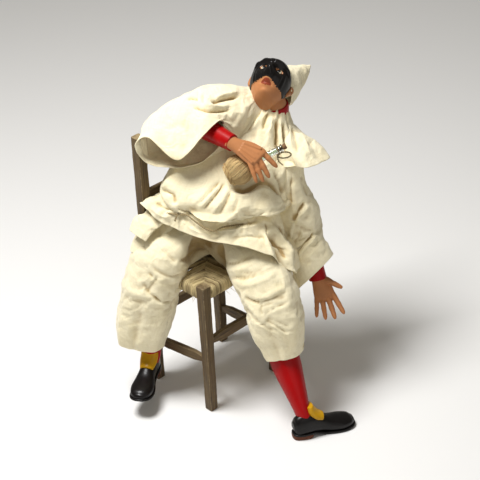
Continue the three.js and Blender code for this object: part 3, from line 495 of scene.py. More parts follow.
def mesh_object(name, patches, materials, zones=None):
    """One mesh object from patches; zones gives each patch's place in the list of materials."""
    verts, faces, corners, shade, zone = [], [], [], [], []
    start = 0
    for k, piece in enumerate(patches):
        verts.append(place(piece.verts))
        faces.append(piece.faces + start)
        corners.append(piece.corners)
        shade.append(piece.shade)
        zone.append(np.full(len(piece.faces), zones[k] if zones else 0))
        start += len(piece.verts)
    mesh = bpy.data.meshes.new(name)
    mesh.from_pydata(np.concatenate(verts).tolist(), [], np.concatenate(faces).tolist())
    layer = mesh.uv_layers.new(name="Cut")
    layer.data.foreach_set("uv", np.concatenate(corners).astype(np.float32).ravel())
    layer = mesh.attributes.new("shade", "FLOAT", "POINT")
    layer.data.foreach_set("value", np.concatenate(shade).astype(np.float32))
    for surface in materials:
        mesh.materials.append(surface)
    mesh.polygons.foreach_set("material_index", np.concatenate(zone).astype(np.int32))
    mesh.polygons.foreach_set("use_smooth", [True] * len(mesh.polygons))
    mesh.update()
    made = bpy.data.objects.new(name, mesh)
    bpy.context.scene.collection.objects.link(made)
    return made


def taken(made, replaced):
    """The piece as part of the figure, in the place of the CAD node it stands for."""
    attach(made, "root")
    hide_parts(replaced)
    return made


SAND_SHARE = 0.5
SAND_PASSES = 4


def carved(name, grids, voxel):
    """Closed lofts joined into one carved and sanded skin."""
    made = mesh_object(name, [patch(g) for g in grids], [])
    joined = made.modifiers.new("Join", "REMESH")
    joined.mode = "VOXEL"
    joined.voxel_size = voxel * MM
    joined.use_smooth_shade = True
    soft = made.modifiers.new("Sand", "SMOOTH")
    soft.factor = SAND_SHARE
    soft.iterations = SAND_PASSES
    graph = bpy.context.evaluated_depsgraph_get()
    mesh = bpy.data.meshes.new_from_object(made.evaluated_get(graph))
    made.modifiers.clear()
    made.data = mesh
    return made


# Node trees
def node(tree, kind, inputs=None, **settings):
    """One shader node with its settings, values and links."""
    made = tree.nodes.new(kind)
    for key, value in settings.items():
        setattr(made, key, value)
    for key, value in (inputs or {}).items():
        if isinstance(value, bpy.types.NodeSocket):
            tree.links.new(value, made.inputs[key])
        else:
            made.inputs[key].default_value = value
    return made


def group(name, inputs, outputs):
    """An empty shader node group with named sockets, and its two ends."""
    tree = bpy.data.node_groups.new(name, "ShaderNodeTree")
    for label, value in inputs.items():
        socket = tree.interface.new_socket(label, in_out="INPUT", socket_type="NodeSocketFloat")
        socket.default_value = value
    for label in outputs:
        tree.interface.new_socket(label, in_out="OUTPUT", socket_type="NodeSocketFloat")
    return tree, tree.nodes.new("NodeGroupInput"), tree.nodes.new("NodeGroupOutput")


def math_node(tree, operation, first, second=0.0):
    """Result of one sum."""
    return node(tree, "ShaderNodeMath", {0: first, 1: second}, operation=operation).outputs[0]


def mixed(tree, share, first, second):
    """Two colours mixed by a share."""
    inputs = {0: share, 6: first, 7: second}
    return node(tree, "ShaderNodeMix", inputs, data_type="RGBA").outputs[2]


def ranged(tree, value, low, high, to_low=0.0, to_high=1.0):
    """A value carried from one range to another."""
    inputs = {0: value, 1: low, 2: high, 3: to_low, 4: to_high}
    return node(tree, "ShaderNodeMapRange", inputs, clamp=True).outputs[0]


def rgba(colour):
    """A colour with full cover."""
    return (*colour[:3], 1.0)


def cloudy(tree, where, scale, detail=2.0, **values):
    """Value of a noise texture."""
    inputs = {"Vector": where, "Scale": scale, "Detail": detail, **values}
    return node(tree, "ShaderNodeTexNoise", inputs).outputs["Fac"]


def solid_place(tree):
    """Coordinates in the piece itself, for what runs through it."""
    return node(tree, "ShaderNodeTexCoord").outputs["Object"]


def cut_place(tree, across, along):
    """Coordinates laid flat along the piece, scaled each way."""
    cut = node(tree, "ShaderNodeUVMap", uv_map="Cut").outputs["UV"]
    both = node(tree, "ShaderNodeCombineXYZ", {"X": across, "Y": along}).outputs[0]
    return node(tree, "ShaderNodeVectorMath", {0: cut, 1: both}, operation="MULTIPLY").outputs[0]


def mesh_shade(tree):
    """The value that each mesh carries: painted shade in the cloth's folds, worn edges of wood, or
    the tone of a strand.
    """
    return node(tree, "ShaderNodeAttribute", attribute_name="shade").outputs["Fac"]


def weave_group():
    """Plain weave of cotton threads, with slubs."""
    inputs = {"Pitch": 1800.0, "Slub": 0.5, "Crinkle": 22.0}
    tree, given, result = group("Cotton Weave", inputs, ("Height", "Slubs", "Mottle"))
    cut = node(tree, "ShaderNodeUVMap", uv_map="Cut").outputs["UV"]
    solid = solid_place(tree)
    waver = node(tree, "ShaderNodeTexNoise", {"Vector": cut, "Scale": 260.0, "Detail": 2.0})
    small = node(
        tree,
        "ShaderNodeVectorMath",
        {0: waver.outputs["Color"], "Scale": 0.0009},
        operation="SCALE",
    )
    shifted = node(tree, "ShaderNodeVectorMath", {0: cut, 1: small.outputs[0]}, operation="ADD")
    threads = []
    for direction, slub in (("X", (60.0, 900.0, 1.0)), ("Y", (900.0, 60.0, 1.0))):
        wave = node(
            tree,
            "ShaderNodeTexWave",
            {"Vector": shifted.outputs[0], "Scale": given.outputs["Pitch"]},
            wave_type="BANDS",
            bands_direction=direction,
        )
        stretch = node(tree, "ShaderNodeVectorMath", {0: cut, 1: slub}, operation="MULTIPLY")
        threads.append((wave.outputs["Fac"], cloudy(tree, stretch.outputs[0], 1.0, 3.0)))
    weave = math_node(tree, "MAXIMUM", threads[0][0], threads[1][0])
    slubs = ranged(tree, math_node(tree, "ADD", threads[0][1], threads[1][1]), 0.8, 1.3)
    high = math_node(tree, "MULTIPLY", slubs, given.outputs["Slub"])
    ridged = 0.0
    for scale, bend, share in ((62.0, 1.6, 1.0), (150.0, 1.0, 0.4)):
        crease = cloudy(tree, solid, scale, 1.5, Distortion=bend)
        away = math_node(tree, "ABSOLUTE", math_node(tree, "SUBTRACT", crease, 0.5))
        ridged = math_node(tree, "ADD", math_node(tree, "MULTIPLY", away, -share), ridged)
    crinkle = math_node(tree, "MULTIPLY", ridged, given.outputs["Crinkle"])
    high = math_node(tree, "ADD", high, crinkle)
    tree.links.new(math_node(tree, "ADD", weave, high), result.inputs["Height"])
    tree.links.new(slubs, result.inputs["Slubs"])
    tree.links.new(cloudy(tree, solid, 45.0, 4.0), result.inputs["Mottle"])
    return tree


def grain_group():
    """Long grain of old wood, from lengthwise texture coordinates."""
    inputs = {"Length Scale": 25.0, "Width Scale": 900.0}
    tree, given, result = group("Wood Grain", inputs, ("Grain", "Blotch", "Height"))
    along = cut_place(tree, given.outputs["Width Scale"], given.outputs["Length Scale"])
    solid = solid_place(tree)
    fine = cloudy(tree, along, 1.0, 5.0, Distortion=0.6)
    height = math_node(tree, "ADD", fine, cloudy(tree, solid, 700.0))
    tree.links.new(fine, result.inputs["Grain"])
    tree.links.new(cloudy(tree, solid, 60.0, 3.0), result.inputs["Blotch"])
    tree.links.new(height, result.inputs["Height"])
    return tree


def wear_group():
    """Worn edges and dust, from the shade that each mesh carries."""
    inputs = {"Amount": 0.5, "Scale": 240.0}
    tree, given, result = group("Wear And Dust", inputs, ("Wear", "Dust"))
    solid = solid_place(tree)
    edge = math_node(tree, "MULTIPLY", mesh_shade(tree), given.outputs["Amount"])
    chips = cloudy(tree, solid, given.outputs["Scale"], 5.0, Roughness=0.65)
    worn = math_node(tree, "ADD", edge, chips)
    geometry = node(tree, "ShaderNodeNewGeometry")
    upward = node(tree, "ShaderNodeSeparateXYZ", {0: geometry.outputs["Normal"]}).outputs["Z"]
    cloud = ranged(tree, cloudy(tree, solid, 90.0, 4.0), 0.35, 0.75)
    dusty = math_node(tree, "MULTIPLY", ranged(tree, upward, 0.3, 1.0), cloud)
    tree.links.new(ranged(tree, worn, 0.78, 1.05), result.inputs["Wear"])
    tree.links.new(dusty, result.inputs["Dust"])
    return tree


def fibre_group():
    """Dry plant strands, each of its own tone, with fine lengthwise lines."""
    tree, given, result = group("Dry Fibre", {"Line Scale": 2600.0}, ("Tone", "Lines"))
    lines = cloudy(tree, cut_place(tree, given.outputs["Line Scale"], 70.0), 1.0, 3.0)
    cloud = math_node(tree, "SUBTRACT", cloudy(tree, solid_place(tree), 120.0, 3.0), 0.5)
    tree.links.new(math_node(tree, "ADD", mesh_shade(tree), cloud), result.inputs["Tone"])
    tree.links.new(lines, result.inputs["Lines"])
    return tree


GROUPS = {
    "Cotton Weave": weave_group,
    "Wood Grain": grain_group,
    "Wear And Dust": wear_group,
    "Dry Fibre": fibre_group,
}


def shared(tree, name, values):
    """One of the shared effects, placed in a material's tree with its own values."""
    effect = bpy.data.node_groups.get(name) or GROUPS[name]()
    return node(tree, "ShaderNodeGroup", values, node_tree=effect).outputs


def material(name, values):
    """A new material, its tree and its shader, with plain values set on the shader."""
    made = bpy.data.materials.new(name)
    made.use_nodes = True
    shader = made.node_tree.nodes["Principled BSDF"]
    for key, value in values.items():
        shader.inputs[key].default_value = value
    return made, made.node_tree, shader


def bumped(tree, shader, height, distance, strength):
    """A height as the shader's relief, in metres."""
    inputs = {"Height": height, "Distance": distance, "Strength": strength}
    bump = node(tree, "ShaderNodeBump", inputs)
    tree.links.new(bump.outputs["Normal"], shader.inputs["Normal"])


def cotton(name, colours):
    """Unbleached cotton, with painted shade in its folds."""
    values = {"Roughness": 0.9, "Sheen Weight": 0.25, "Sheen Roughness": 0.6}
    made, tree, shader = material(name, values)
    weave = shared(tree, "Cotton Weave", {"Pitch": colours.weave_pitch, "Slub": 0.7})
    # Painted shade: where the cloth lies below its surroundings it turns towards the fold shade
    # colour
    aged = math_node(tree, "MULTIPLY", ranged(tree, mesh_shade(tree), 0.0, -1.8), 0.8)
    tone = mixed(tree, aged, rgba(colours.cotton), rgba(colours.fold_shade))
    spots = ranged(tree, weave["Mottle"], 0.5, 0.8, 0.0, 0.35)
    tone = mixed(tree, spots, tone, rgba(colours.stain))
    thread = ranged(tree, weave["Slubs"], 0.2, 0.9, 0.0, 0.22)
    tone = mixed(tree, thread, tone, rgba(colours.thread))
    tree.links.new(tone, shader.inputs["Base Color"])
    bumped(tree, shader, weave["Height"], 0.00012, 0.6)
    return made


def painted(name, colour, dirt, roughness, coat=0.0, wear=0.3):
    """Paint on carved wood, uneven from the brush, and worn through to dirt in chips and on its
    edges.
    """
    values = {"Coat Weight": coat, "Coat Roughness": 0.12, "Specular IOR Level": 0.16}
    made, tree, shader = material(name, values)
    worn = shared(tree, "Wear And Dust", {"Amount": wear, "Scale": 260.0})
    solid = solid_place(tree)
    brush, fine = cloudy(tree, solid, 75.0, 5.0), cloudy(tree, solid, 420.0, 3.0)
    patchy = ranged(tree, brush, 0.4, 0.8, 0.0, 0.5)
    tone = mixed(tree, patchy, rgba(colour), rgba([c * 0.68 for c in colour]))
    tone = mixed(tree, worn["Wear"], tone, rgba(dirt))
    tree.links.new(tone, shader.inputs["Base Color"])
    rough = ranged(tree, fine, 0.3, 0.8, roughness - 0.08, roughness + 0.14)
    tree.links.new(rough, shader.inputs["Roughness"])
    bumped(tree, shader, math_node(tree, "ADD", brush, fine), 0.00015, 0.3)
    return made


def old_wood(name, colours):
    """Grey-brown village chair wood, pale on its worn edges."""
    made, tree, shader = material(name, {"Roughness": 0.7})
    grain = shared(tree, "Wood Grain", {"Length Scale": 22.0, "Width Scale": 820.0})
    worn = shared(tree, "Wear And Dust", {"Amount": 0.5, "Scale": 180.0})
    streak = ranged(tree, grain["Grain"], 0.32, 0.68)
    tone = mixed(tree, streak, rgba(colours.wood), rgba(colours.wood_dark))
    blotch = ranged(tree, grain["Blotch"], 0.4, 0.7, 0.0, 0.7)
    tone = mixed(tree, blotch, tone, rgba(colours.wood_warm))
    tone = mixed(tree, worn["Wear"], tone, rgba(colours.wood_worn))
    dust = math_node(tree, "MULTIPLY", worn["Dust"], 0.45)
    tone = mixed(tree, dust, tone, rgba(colours.wood_worn))
    tree.links.new(tone, shader.inputs["Base Color"])
    bumped(tree, shader, grain["Height"], 0.0005, 0.55)
    return made


def fibre(name, light, dark, line_scale=2600.0, depth=0.0003):
    """Rush, straw or twine."""
    made, tree, shader = material(name, {"Roughness": 0.8})
    strands = shared(tree, "Dry Fibre", {"Line Scale": line_scale})
    tone = ranged(tree, strands["Tone"], 0.1, 0.95)
    colour = mixed(tree, tone, rgba(dark), rgba(light))
    lines = ranged(tree, strands["Lines"], 0.4, 0.65, 0.0, 0.4)
    colour = mixed(tree, lines, colour, rgba([c * 0.55 for c in dark]))
    tree.links.new(colour, shader.inputs["Base Color"])
    bumped(tree, shader, strands["Lines"], depth, 0.8)
    return made


def made_once(name, maker, *arguments):
    """A material by name, made the first time that it is asked for."""
    return bpy.data.materials.get(name) or maker(name, *arguments)


def paint(name, colour, worn, *look):
    """A paint by name, with the code of what shows where it is worn."""
    return made_once(name, painted, colour, linear(worn), *look)


def flesh_paint(colours):
    """Paint of the face and the hands."""
    return made_once("Flesh Paint", painted, colours.flesh, colours.flesh_dirt, 0.4, 0.1)


def red_paint(colours):
    """Paint of the stockings, the under-sleeves and the neck band."""
    return paint("Red Paint", colours.red, "5a0a0c", 0.42, 0.1)


def twine(colours):
    """Twine of the belt and of the flask's loop."""
    dark = [c * 0.45 for c in colours.twine]
    return made_once("Twine", fibre, colours.twine, dark, 5200.0, 0.0002)


# Settings that a user would change
def colour_setting(name, description, code):
    """Setting of one colour, with the six-digit code that it starts from."""
    return bpy.props.FloatVectorProperty(
        name=name, description=description, default=linear(code), subtype="COLOR", min=0, max=1
    )


class ClothColours(bpy.types.PropertyGroup):
    """Cotton of the smock, the trousers and the cap."""

    cotton: colour_setting("Cotton", "Colour of the clean cloth", "f3e8c5")
    # Painted shade colour of the cloth in its folds and hollows
    fold_shade: colour_setting("Folds", "Colour of the cloth deep in its folds", "a8843f")
    stain: colour_setting("Age", "Colour of the patches that age has yellowed", "e6d49c")
    thread: colour_setting("Threads", "Colour of the thick threads of the weave", "d9c893")
    weave_pitch: bpy.props.FloatProperty(
        name="Weave",
        description="Scale of the weave; larger is finer",
        default=700.0,
        min=50.0,
    )


class ChairColours(bpy.types.PropertyGroup):
    """Wood and rush of the chair."""

    wood: colour_setting("Wood", "Colour of the aged wood", "745f3d")
    wood_dark: colour_setting("Dark grain", "Colour of the dark streaks of the grain", "3a2e20")
    wood_warm: colour_setting("Warm patches", "Colour of the browner patches", "5c4728")
    wood_worn: colour_setting(
        "Worn edges", "Colour of edges that hands have rubbed, and of dust", "93805c"
    )
    rush_light: colour_setting("Rush", "Colour of the pale rush", "d6c290")
    rush_dark: colour_setting("Dark rush", "Colour of the dark rush", "6a5430")
    strand: bpy.props.FloatProperty(
        name="Rush strand",
        description="Thickness of one twisted strand of rush",
        default=0.0013,
        subtype="DISTANCE",
        unit="LENGTH",
        min=0.0005,
    )


class PaintColours(bpy.types.PropertyGroup):
    """Paint of the carved parts, and the colours of straw and twine."""

    flesh: colour_setting("Flesh", "Colour of the face and the hands", "b87c50")
    flesh_dirt: colour_setting(
        "Flesh wear", "Colour of the flesh where it is worn and dirty", "5c3520"
    )
    red: colour_setting("Red", "Colour of the stockings and the under-sleeves", "a20306")
    black: colour_setting("Black", "Colour of the mask and the shoes", "120f0e")
    ochre: colour_setting("Ochre", "Colour of the shoe tongues", "c8960f")
    sole: colour_setting("Sole", "Colour of bare wood on worn soles and heels", "5a2f1a")
    straw_light: colour_setting("Straw", "Colour of the flask's straw", "d2b680")
    straw_dark: colour_setting("Dark straw", "Colour of the dark straw", "8c6c3e")
    twine: colour_setting("Twine", "Colour of the belt and of the flask's loop", "a8946c")


class StageLights(bpy.types.PropertyGroup):
    """Studio light and floor."""

    key: bpy.props.FloatProperty(
        name="Key light",
        description="Strength of the large light at the upper left",
        default=15.5,
        min=0,
        unit="POWER",
    )
    fill: bpy.props.FloatProperty(
        name="Room light",
        description="Strength of the even light from all round",
        default=0.2,
        min=0,
    )
    floor: colour_setting("Floor", "Colour of the floor", "f2f1ef")


# Chair
WOOD_RADIUS = 1.3
LEG_FOOT_HALF = 4.4
LEG_TOP_HALF = 5.1
STRETCHERS = {
    "chair_front_stretcher": ("front_right", "front_left", 0.0),
    "chair_back_stretcher": ("back_right", "back_left", 0.0),
    "chair_right_stretcher": ("back_right", "front_right", 10.0),
    "chair_left_stretcher": ("back_left", "front_left", 5.0),
}
SLATS = ("chair_upper_slat", "chair_lower_slat")
# Room that cloth keeps from the chair's back, and how it slopes off beside and over the posts
CHAIR_GAP = 0.8
POST_SLOPE = 1.8
OVER_POST = 6
# Bars of wood
RAIL_HALF_HEIGHT = 5.0
RAIL_HALF_THICK = 2.5
RAIL_END_HALF_HEIGHT = 2.75
RAIL_SHAVED = 14.0
RAIL_TENON = 0.6
SLAT_HALF_HEIGHT = 8.5
SLAT_HALF_THICK = 2.0
EDGE_STEPS = (0.0, 0.25, 0.6, 1.1, 1.8)
EDGE_ROUND = 1.1
SQUARENESS = 0.22
KNIFE_SWAY = 0.35
KNIFE_DENT = 0.16


def hewn(start, end, halves, face, seed, rings=60, around=32):
    """A bar with a rounded square section, a little uneven from the knife.

    halves gives the half width and half height at shares of the length; face is the direction of
    the width. The shade is high on the arrises and the ends.
    """
    start, end = np.asarray(start, float), np.asarray(end, float)
    way = unit(end - start)
    face = np.asarray(face, float)
    face = unit(face - way * (face @ way))
    rise = np.cross(way, face)
    length = np.linalg.norm(end - start)
    soft = np.array(EDGE_STEPS) / length
    middle = np.linspace(0, 1, rings)[1:-1]
    shares = np.unique(np.concatenate([soft, middle, 1 - soft]))
    angle = circle(around)
    places, widths, heights = zip(*halves)
    grid, shade = [], []
    for share in shares:
        near = min(share, 1 - share) * length
        bend = 1 - min(near / EDGE_ROUND, 1)
        pull = WOOD_RADIUS * (1 - math.sqrt(max(0.0, 1 - bend**2))) * 0.7
        wide = np.interp(share, places, widths) - pull
        tall = np.interp(share, places, heights) - pull
        across = np.sign(np.cos(angle)) * np.abs(np.cos(angle)) ** SQUARENESS * wide
        up = np.sign(np.sin(angle)) * np.abs(np.sin(angle)) ** SQUARENESS * tall
        ring = start + way * length * share + across[:, None] * face + up[:, None] * rise
        sway = [noise.noise(Vector(p / 22 + seed)) * KNIFE_SWAY for p in ring]
        dent = [noise.noise(Vector(p / 5 + seed)) * KNIFE_DENT for p in ring]
        out = unit(ring - ring.mean(axis=0))
        ring = ring + out * (np.array(sway) + np.array(dent))[:, None]
        corner = np.abs(np.sin(2 * angle)) ** 6
        grid.append(ring)
        shade.append(np.maximum(corner, 0.8 if near < 1.0 else 0.0))
    shade = np.array([shade[0]] * 2 + shade + [shade[-1]] * 2)
    return patch(capped(np.array(grid), 0.15, 0.15, 2), shade)


def chair_face():
    """Directions along the front rail and towards the front."""
    along = unit(leg_middle("front_left") - leg_middle("front_right"))
    front = unit(leg_middle("front_right") - leg_middle("back_right"))
    return np.array([*along, 0.0]), np.array([*front, 0.0])


class SERVANT_OT_chair(bpy.types.Operator):
    """Build the chair's legs, stretchers and slats from old wood"""

    bl_idname = "servant.chair"
    bl_label = "Chair Frame"

    def execute(self, context):
        wood = made_once("Old Chair Wood", old_wood, context.scene.servant_chair)
        along, _ = chair_face()
        for k, (corner, name) in enumerate(CHAIR_LEGS.items()):
            low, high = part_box(name)
            x, y = leg_middle(corner)
            bottom, top = unplace(low)[2], unplace(high)[2]
            seat = -bottom / (top - bottom)
            places = (0.0, LEG_FOOT_HALF), (min(seat, 1.0), LEG_TOP_HALF), (1.0, LEG_TOP_HALF)
            halves = [(share, half, half) for share, half in places]
            bar = hewn((x, y, bottom), (x, y, top), halves, along, 7.3 * k, rings=90)
            taken(mesh_object(name + "_wood", [bar], [wood]), name)
        size = RAIL_HALF_HEIGHT, RAIL_END_HALF_HEIGHT, RAIL_HALF_THICK
        for k, (name, (first, second, rise)) in enumerate(STRETCHERS.items()):
            self.rail(name, first, second, rise, size, wood, k)
        size = SLAT_HALF_HEIGHT, SLAT_HALF_HEIGHT, SLAT_HALF_THICK
        for k, name in enumerate(SLATS):
            self.rail(name, "back_right", "back_left", 0.0, size, wood, k)
        return {"FINISHED"}

    def rail(self, name, first, second, rise, size, wood, seed):
        """One bar between two legs; size gives its half height, that of its ends, and its depth."""
        tall, ends, thick = size
        low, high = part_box(name)
        level = unplace((low + high) / 2)[2]
        start, end = leg_middle(first), leg_middle(second)
        span = np.linalg.norm(end - start)
        way = (end - start) / span
        reach = LEG_TOP_HALF - RAIL_TENON
        start, end = start + way * reach, end - way * reach
        length = span - 2 * reach
        shaved = RAIL_SHAVED / length
        shares = (0, ends), (shaved, tall), (1 - shaved, tall), (1, ends)
        halves = [(share, thick, half) for share, half in shares]
        across = (way[1], -way[0], 0.0)
        points = [(*start, level - rise / 2), (*end, level + rise / 2)]
        bar = hewn(*points, halves, across, 31.7 + 5.1 * seed, rings=50)
        taken(mesh_object(name + "_wood", [bar], [wood]), name)


SEAT_EDGE = 3.4
SEAT_HALF_THICK = 6.2
SEAT_MIDDLE = -7.4
SEAT_DIP = 2.4
RUSH_SEED = 5
RUSH_SPACING = 0.92
RUSH_ROUND_RAIL = 0.16
LOOSE_FIBRES = 90


def strand_path(corner, rail_way, inward, along, span, reach):
    """One strand of rush: from the diagonal over the rail and back under the seat."""
    edge = corner + rail_way * along
    inner = min(along, span - along, reach) * 0.985
    high = SEAT_HALF_THICK * 0.93
    points = []
    for share in np.linspace(1.0, RUSH_ROUND_RAIL, 7):
        dip = SEAT_DIP * share**1.5
        points.append((inner * share, high - dip * 0.6))
    for turn in np.linspace(80, -80, 7):
        angle = math.radians(turn)
        out = -SEAT_EDGE * math.cos(angle)
        points.append((out, SEAT_HALF_THICK * math.sin(angle)))
    for share in np.linspace(RUSH_ROUND_RAIL, 1.0, 6):
        points.append((inner * share, -high + SEAT_DIP * 0.5 * share))
    path = [edge + inward * a + np.array([0, 0, SEAT_MIDDLE + b]) for a, b in points]
    return np.array(path)


class SERVANT_OT_seat(bpy.types.Operator):
    """Wind the rush seat, strand by strand, over its rails"""

    bl_idname = "servant.seat"
    bl_label = "Rush Seat"

    def execute(self, context):
        colours = context.scene.servant_chair
        rush = made_once("Rush", fibre, colours.rush_light, colours.rush_dark)
        strand = colours.strand / MM
        generator = np.random.default_rng(RUSH_SEED)
        corners = ["front_right", "front_left", "back_left", "back_right"]
        middles = [np.array([*leg_middle(c), 0.0]) for c in corners]
        patches = []
        centre = sum(middles) / 4
        for k in range(4):
            start, end = middles[k], middles[(k + 1) % 4]
            span = np.linalg.norm(end - start)
            way = (end - start) / span
            inward = unit(centre - (start + end) / 2)
            reach = abs((centre - start) @ inward)
            for along in np.arange(3.6, span - 3.4, strand * RUSH_SPACING):
                shift = along + generator.normal(0, 0.12)
                path = strand_path(start, way, inward, shift, span, reach)
                path = even(path + generator.normal(0, 0.16, path.shape), 30)
                path[:, 2] += generator.normal(0, 0.25)
                tone = generator.uniform(0.25, 1.05)
                grid = sweep(path, strand / 2 * generator.uniform(0.9, 1.2), 6)
                patches.append(patch(grid, tone))
        patches += self.loose(middles, centre, generator)
        taken(mesh_object("rush_seat_strands", patches, [rush]), "rush_seat")
        return {"FINISHED"}

    def loose(self, middles, centre, generator):
        """Broken fibres that stand out of the seat's edge."""
        patches = []
        for _ in range(LOOSE_FIBRES):
            k = generator.integers(0, 4)
            share = generator.uniform(0.12, 0.88)
            edge = middles[k] * (1 - share) + middles[(k + 1) % 4] * share
            out = unit(edge - centre)
            start = edge + out * 2.2 + np.array([0, 0, generator.uniform(-12, -3)])
            way = out * generator.uniform(0.2, 1) + generator.normal(0, 0.5, 3)
            way = unit(way + np.array([0, 0, -0.8]))
            length = generator.uniform(3, 10)
            curl = generator.normal(0, 1.2, 3)
            steps = np.linspace(0, 1, 7)[:, None]
            path = start + way * length * steps + curl * steps**2
            grid = sweep(path, np.linspace(0.28, 0.08, 7), 5)
            patches.append(patch(grid, generator.uniform(0.4, 1)))
        return patches


# Smock
NECK_WAY = (0.4, 0.25, 0.88)
NECK_SIDE = (1, -0.2, -0.4)
WAIST_WAY = (-0.05, 0.28, 0.95)
CHEST_WAY = (0.22, 0.28, 0.93)
SMOCK_BODY = station_rows(
    (14, -6, 52, 44, 34, (1, 0, 0.02), WAIST_WAY),
    (20, -7, 53.5, 52, 42, (1, 0, 0.02), WAIST_WAY),
    (24, -7, 57, 55, 45.5, (1, 0, 0.02), WAIST_WAY),
    (23, -5, 63, 57, 45.5, (1, 0, 0.02), WAIST_WAY),
    (20, -2, 73, 61, 44, (1, 0, 0), (0.1, 0.28, 0.94)),
    (27, 6, 85, 58, 38, (1, 0, -0.15), CHEST_WAY),
    (39, 16, 104, 54, 30, (1, -0.1, -0.3), CHEST_WAY),
    (54, 24, 120, 40, 25, (1, -0.2, -0.45), NECK_WAY),
    (65, 29, 132, 22, 18, NECK_SIDE, NECK_WAY),
    (69, 30, 141, 13, 12, NECK_SIDE, NECK_WAY),
)
SMOCK_FOLDS = fold_rows(
    (250, 22, 5, 0, 0.35), (225, 10, -4, 0.05, 0.55, 20), (285, 12, -4, 0.1, 0.5),
    (310, 16, 4, 0.05, 0.5), (205, 12, 4, 0.1, 0.7), (330, 9, -3.5, 0.5, 0.95),
    (60, 14, 4, 0.0, 0.8), (85, 9, -4, 0.1, 0.8), (110, 12, 3.5, 0.1, 0.9),
    (135, 8, -3.5, 0.1, 0.8), (35, 8, -3, 0.1, 0.7), (170, 10, -3, 0.0, 0.6),
)
SMOCK_PULLS = [
    Pull((-32, -12, 60), 16, (0, 0, 11)),
    Pull((-14, -38, 57), 15, (0, 3, 9)),
    Pull((3, -46, 58), 11, (0, 3, 4)),
]
SLEEVE_PULLS = [Pull((97, -2, 80), 24, (-8, 0, 0)), Pull((72, -6, 60), 14, (-6, -2, 0))]
# Each ring of the skirt runs from the left of the picture over the front to the right, and back
SKIRT = [
    [(-38, -6, 74), (-36, -14, 76), (-27, -24, 75), (-18, -30, 68), (-7, -35, 65), (6, -36, 66),
     (20, -37, 69), (34, -35, 68), (48, -31, 65), (61, -30, 61), (68, -20, 56), (64, -4, 52),
     (50, 15, 58), (28, 23, 60), (4, 23, 62), (-18, 16, 65), (-32, 8, 69), (-38, 2, 72)],
    [(-54, -5, 70), (-46, -15, 71.5), (-33.5, -26, 68), (-22, -33, 62.5), (-10, -40, 58),
     (4, -42, 55.5), (18, -44.5, 56.5), (34, -46.5, 56.5), (48, -48, 51), (61, -49, 42),
     (73, -45, 26), (79, -26, 20), (68, 18, 26), (40, 38, 30), (6, 40, 36), (-24, 30, 48),
     (-44, 16, 58), (-54, 4, 66)],
    [(-62, -4, 66), (-57, -15, 67), (-45, -25, 58.5), (-31, -33.5, 54), (-16, -41.5, 50.5),
     (1, -49.5, 48), (17, -55, 47), (34, -59, 45), (50, -60.5, 38.5), (64, -58.5, 28),
     (78, -52, 8), (83, -32, 4), (78, 14, 8), (50, 44, 14), (10, 48, 22), (-28, 38, 36),
     (-52, 20, 52), (-64, 6, 60)],
]
SKIRT_FOLDS = fold_rows(
    (172, 5, 3, 0.1, 1.5), (186, 5, -3.5, 0.1, 1.5), (198, 5, 4, 0, 1.6), (209, 5, -4, 0, 1.6),
    (221, 6, 3, 0.1, 1.6), (40, 8, 1.5, 0.2, 1.6), (250, 7, -4, 0.1, 1.5), (264, 7, 4, 0.1, 1.5),
    (279, 7, -4, 0.1, 1.5), (293, 7, 4, 0.1, 1.5), (307, 7, -4, 0.1, 1.5), (321, 7, 3, 0.1, 1.5),
    (236, 6, 3, 0.1, 1.5), (339, 8, -3, 0.1, 1.5),
)
TAIL_SIDE = (0.75, -0.66, 0)
TAILS = [
    station_rows(*rows, side=TAIL_SIDE)
    for rows in (
        ((-38, -6, 60, 14, 5), (-56, -14, 50, 14, 5), (-65, -20, 39, 12, 4)),
        ((-38, -4, 46, 14, 5), (-58, -14, 28, 14, 5), (-66, -19, 16, 11, 4)),
    )
]
# Each ring of the right sleeve runs from its top over the front, the underside and the back
RIGHT_SLEEVE = [
    [(59, 33, 147), (57, 20, 143), (56, 14, 134), (56, 16, 126),
     (58, 26, 122), (60, 38, 126), (61, 43, 134), (60, 40, 143)],
    [(46, 30, 160), (42, 8, 152), (40, 2, 136), (38, 8, 116),
     (40, 25, 110), (44, 42, 116), (46, 48, 136), (48, 44, 152)],
    [(18, 20, 170), (20, 0, 160), (28, -6, 142), (26, -4, 118),
     (15, 12, 104), (8, 34, 112), (8, 42, 140), (8, 36, 160)],
    [(-10, 4, 163), (8, -14, 157), (22, -10, 148), (19, -9, 121),
     (-2, -2, 106), (-36, 12, 108), (-46, 14, 137), (-38, 10, 154)],
    [(-22, -30, 123), (5, -25, 147), (20, -12, 152), (18, -12, 126),
     (-8, -16, 108), (-48, -8, 107), (-61, -9, 128), (-48, -12, 138)],
]
LEFT_CAP = station_rows(
    (66, 26, 122, 12, 13, (-1, 0, 0), (0.5, -0.3, -0.8)),
    (78, 18, 113, 16, 17, (-1, 0, 0), (0.4, -0.3, -0.85)),
    (88, 9, 104, 19, 20, (-1, 0, 0), (0.3, -0.3, -0.9)),
    (95, 1, 97, 20.5, 21, (-1, 0, 0), (0.1, -0.25, -0.95)),
)
LEFT_CAP_FOLDS = fold_rows(
    (200, 16, 4, 0.1, 1.5), (235, 12, -4, 0.1, 1.5), (270, 14, 3, 0.2, 1.5),
    (320, 16, -2, 0.3, 1.5), (0, 20, 2, 0.4, 1.7), (60, 14, 3, 0.2, 1.6), (95, 12, -3, 0.2, 1.6),
)
LEFT_SLEEVE_FOLDS = fold_rows(
    (215, 14, 3, 0.2, 0.9), (250, 12, -3, 0.2, 0.9), (300, 16, 2, 0.3, 1), (60, 14, 3, 0.1, 0.9),
    (110, 12, -3, 0.2, 1),
)
LEFT_SLEEVE = station_rows(
    (84, 6, 108, 14, 14), (86, 0, 78, 15, 15), (89, -5, 52, 18, 17), (90, -10, 28, 18, 16),
    (92, -14, 12, 16, 14),
    side=(-1, 0, 0),
)
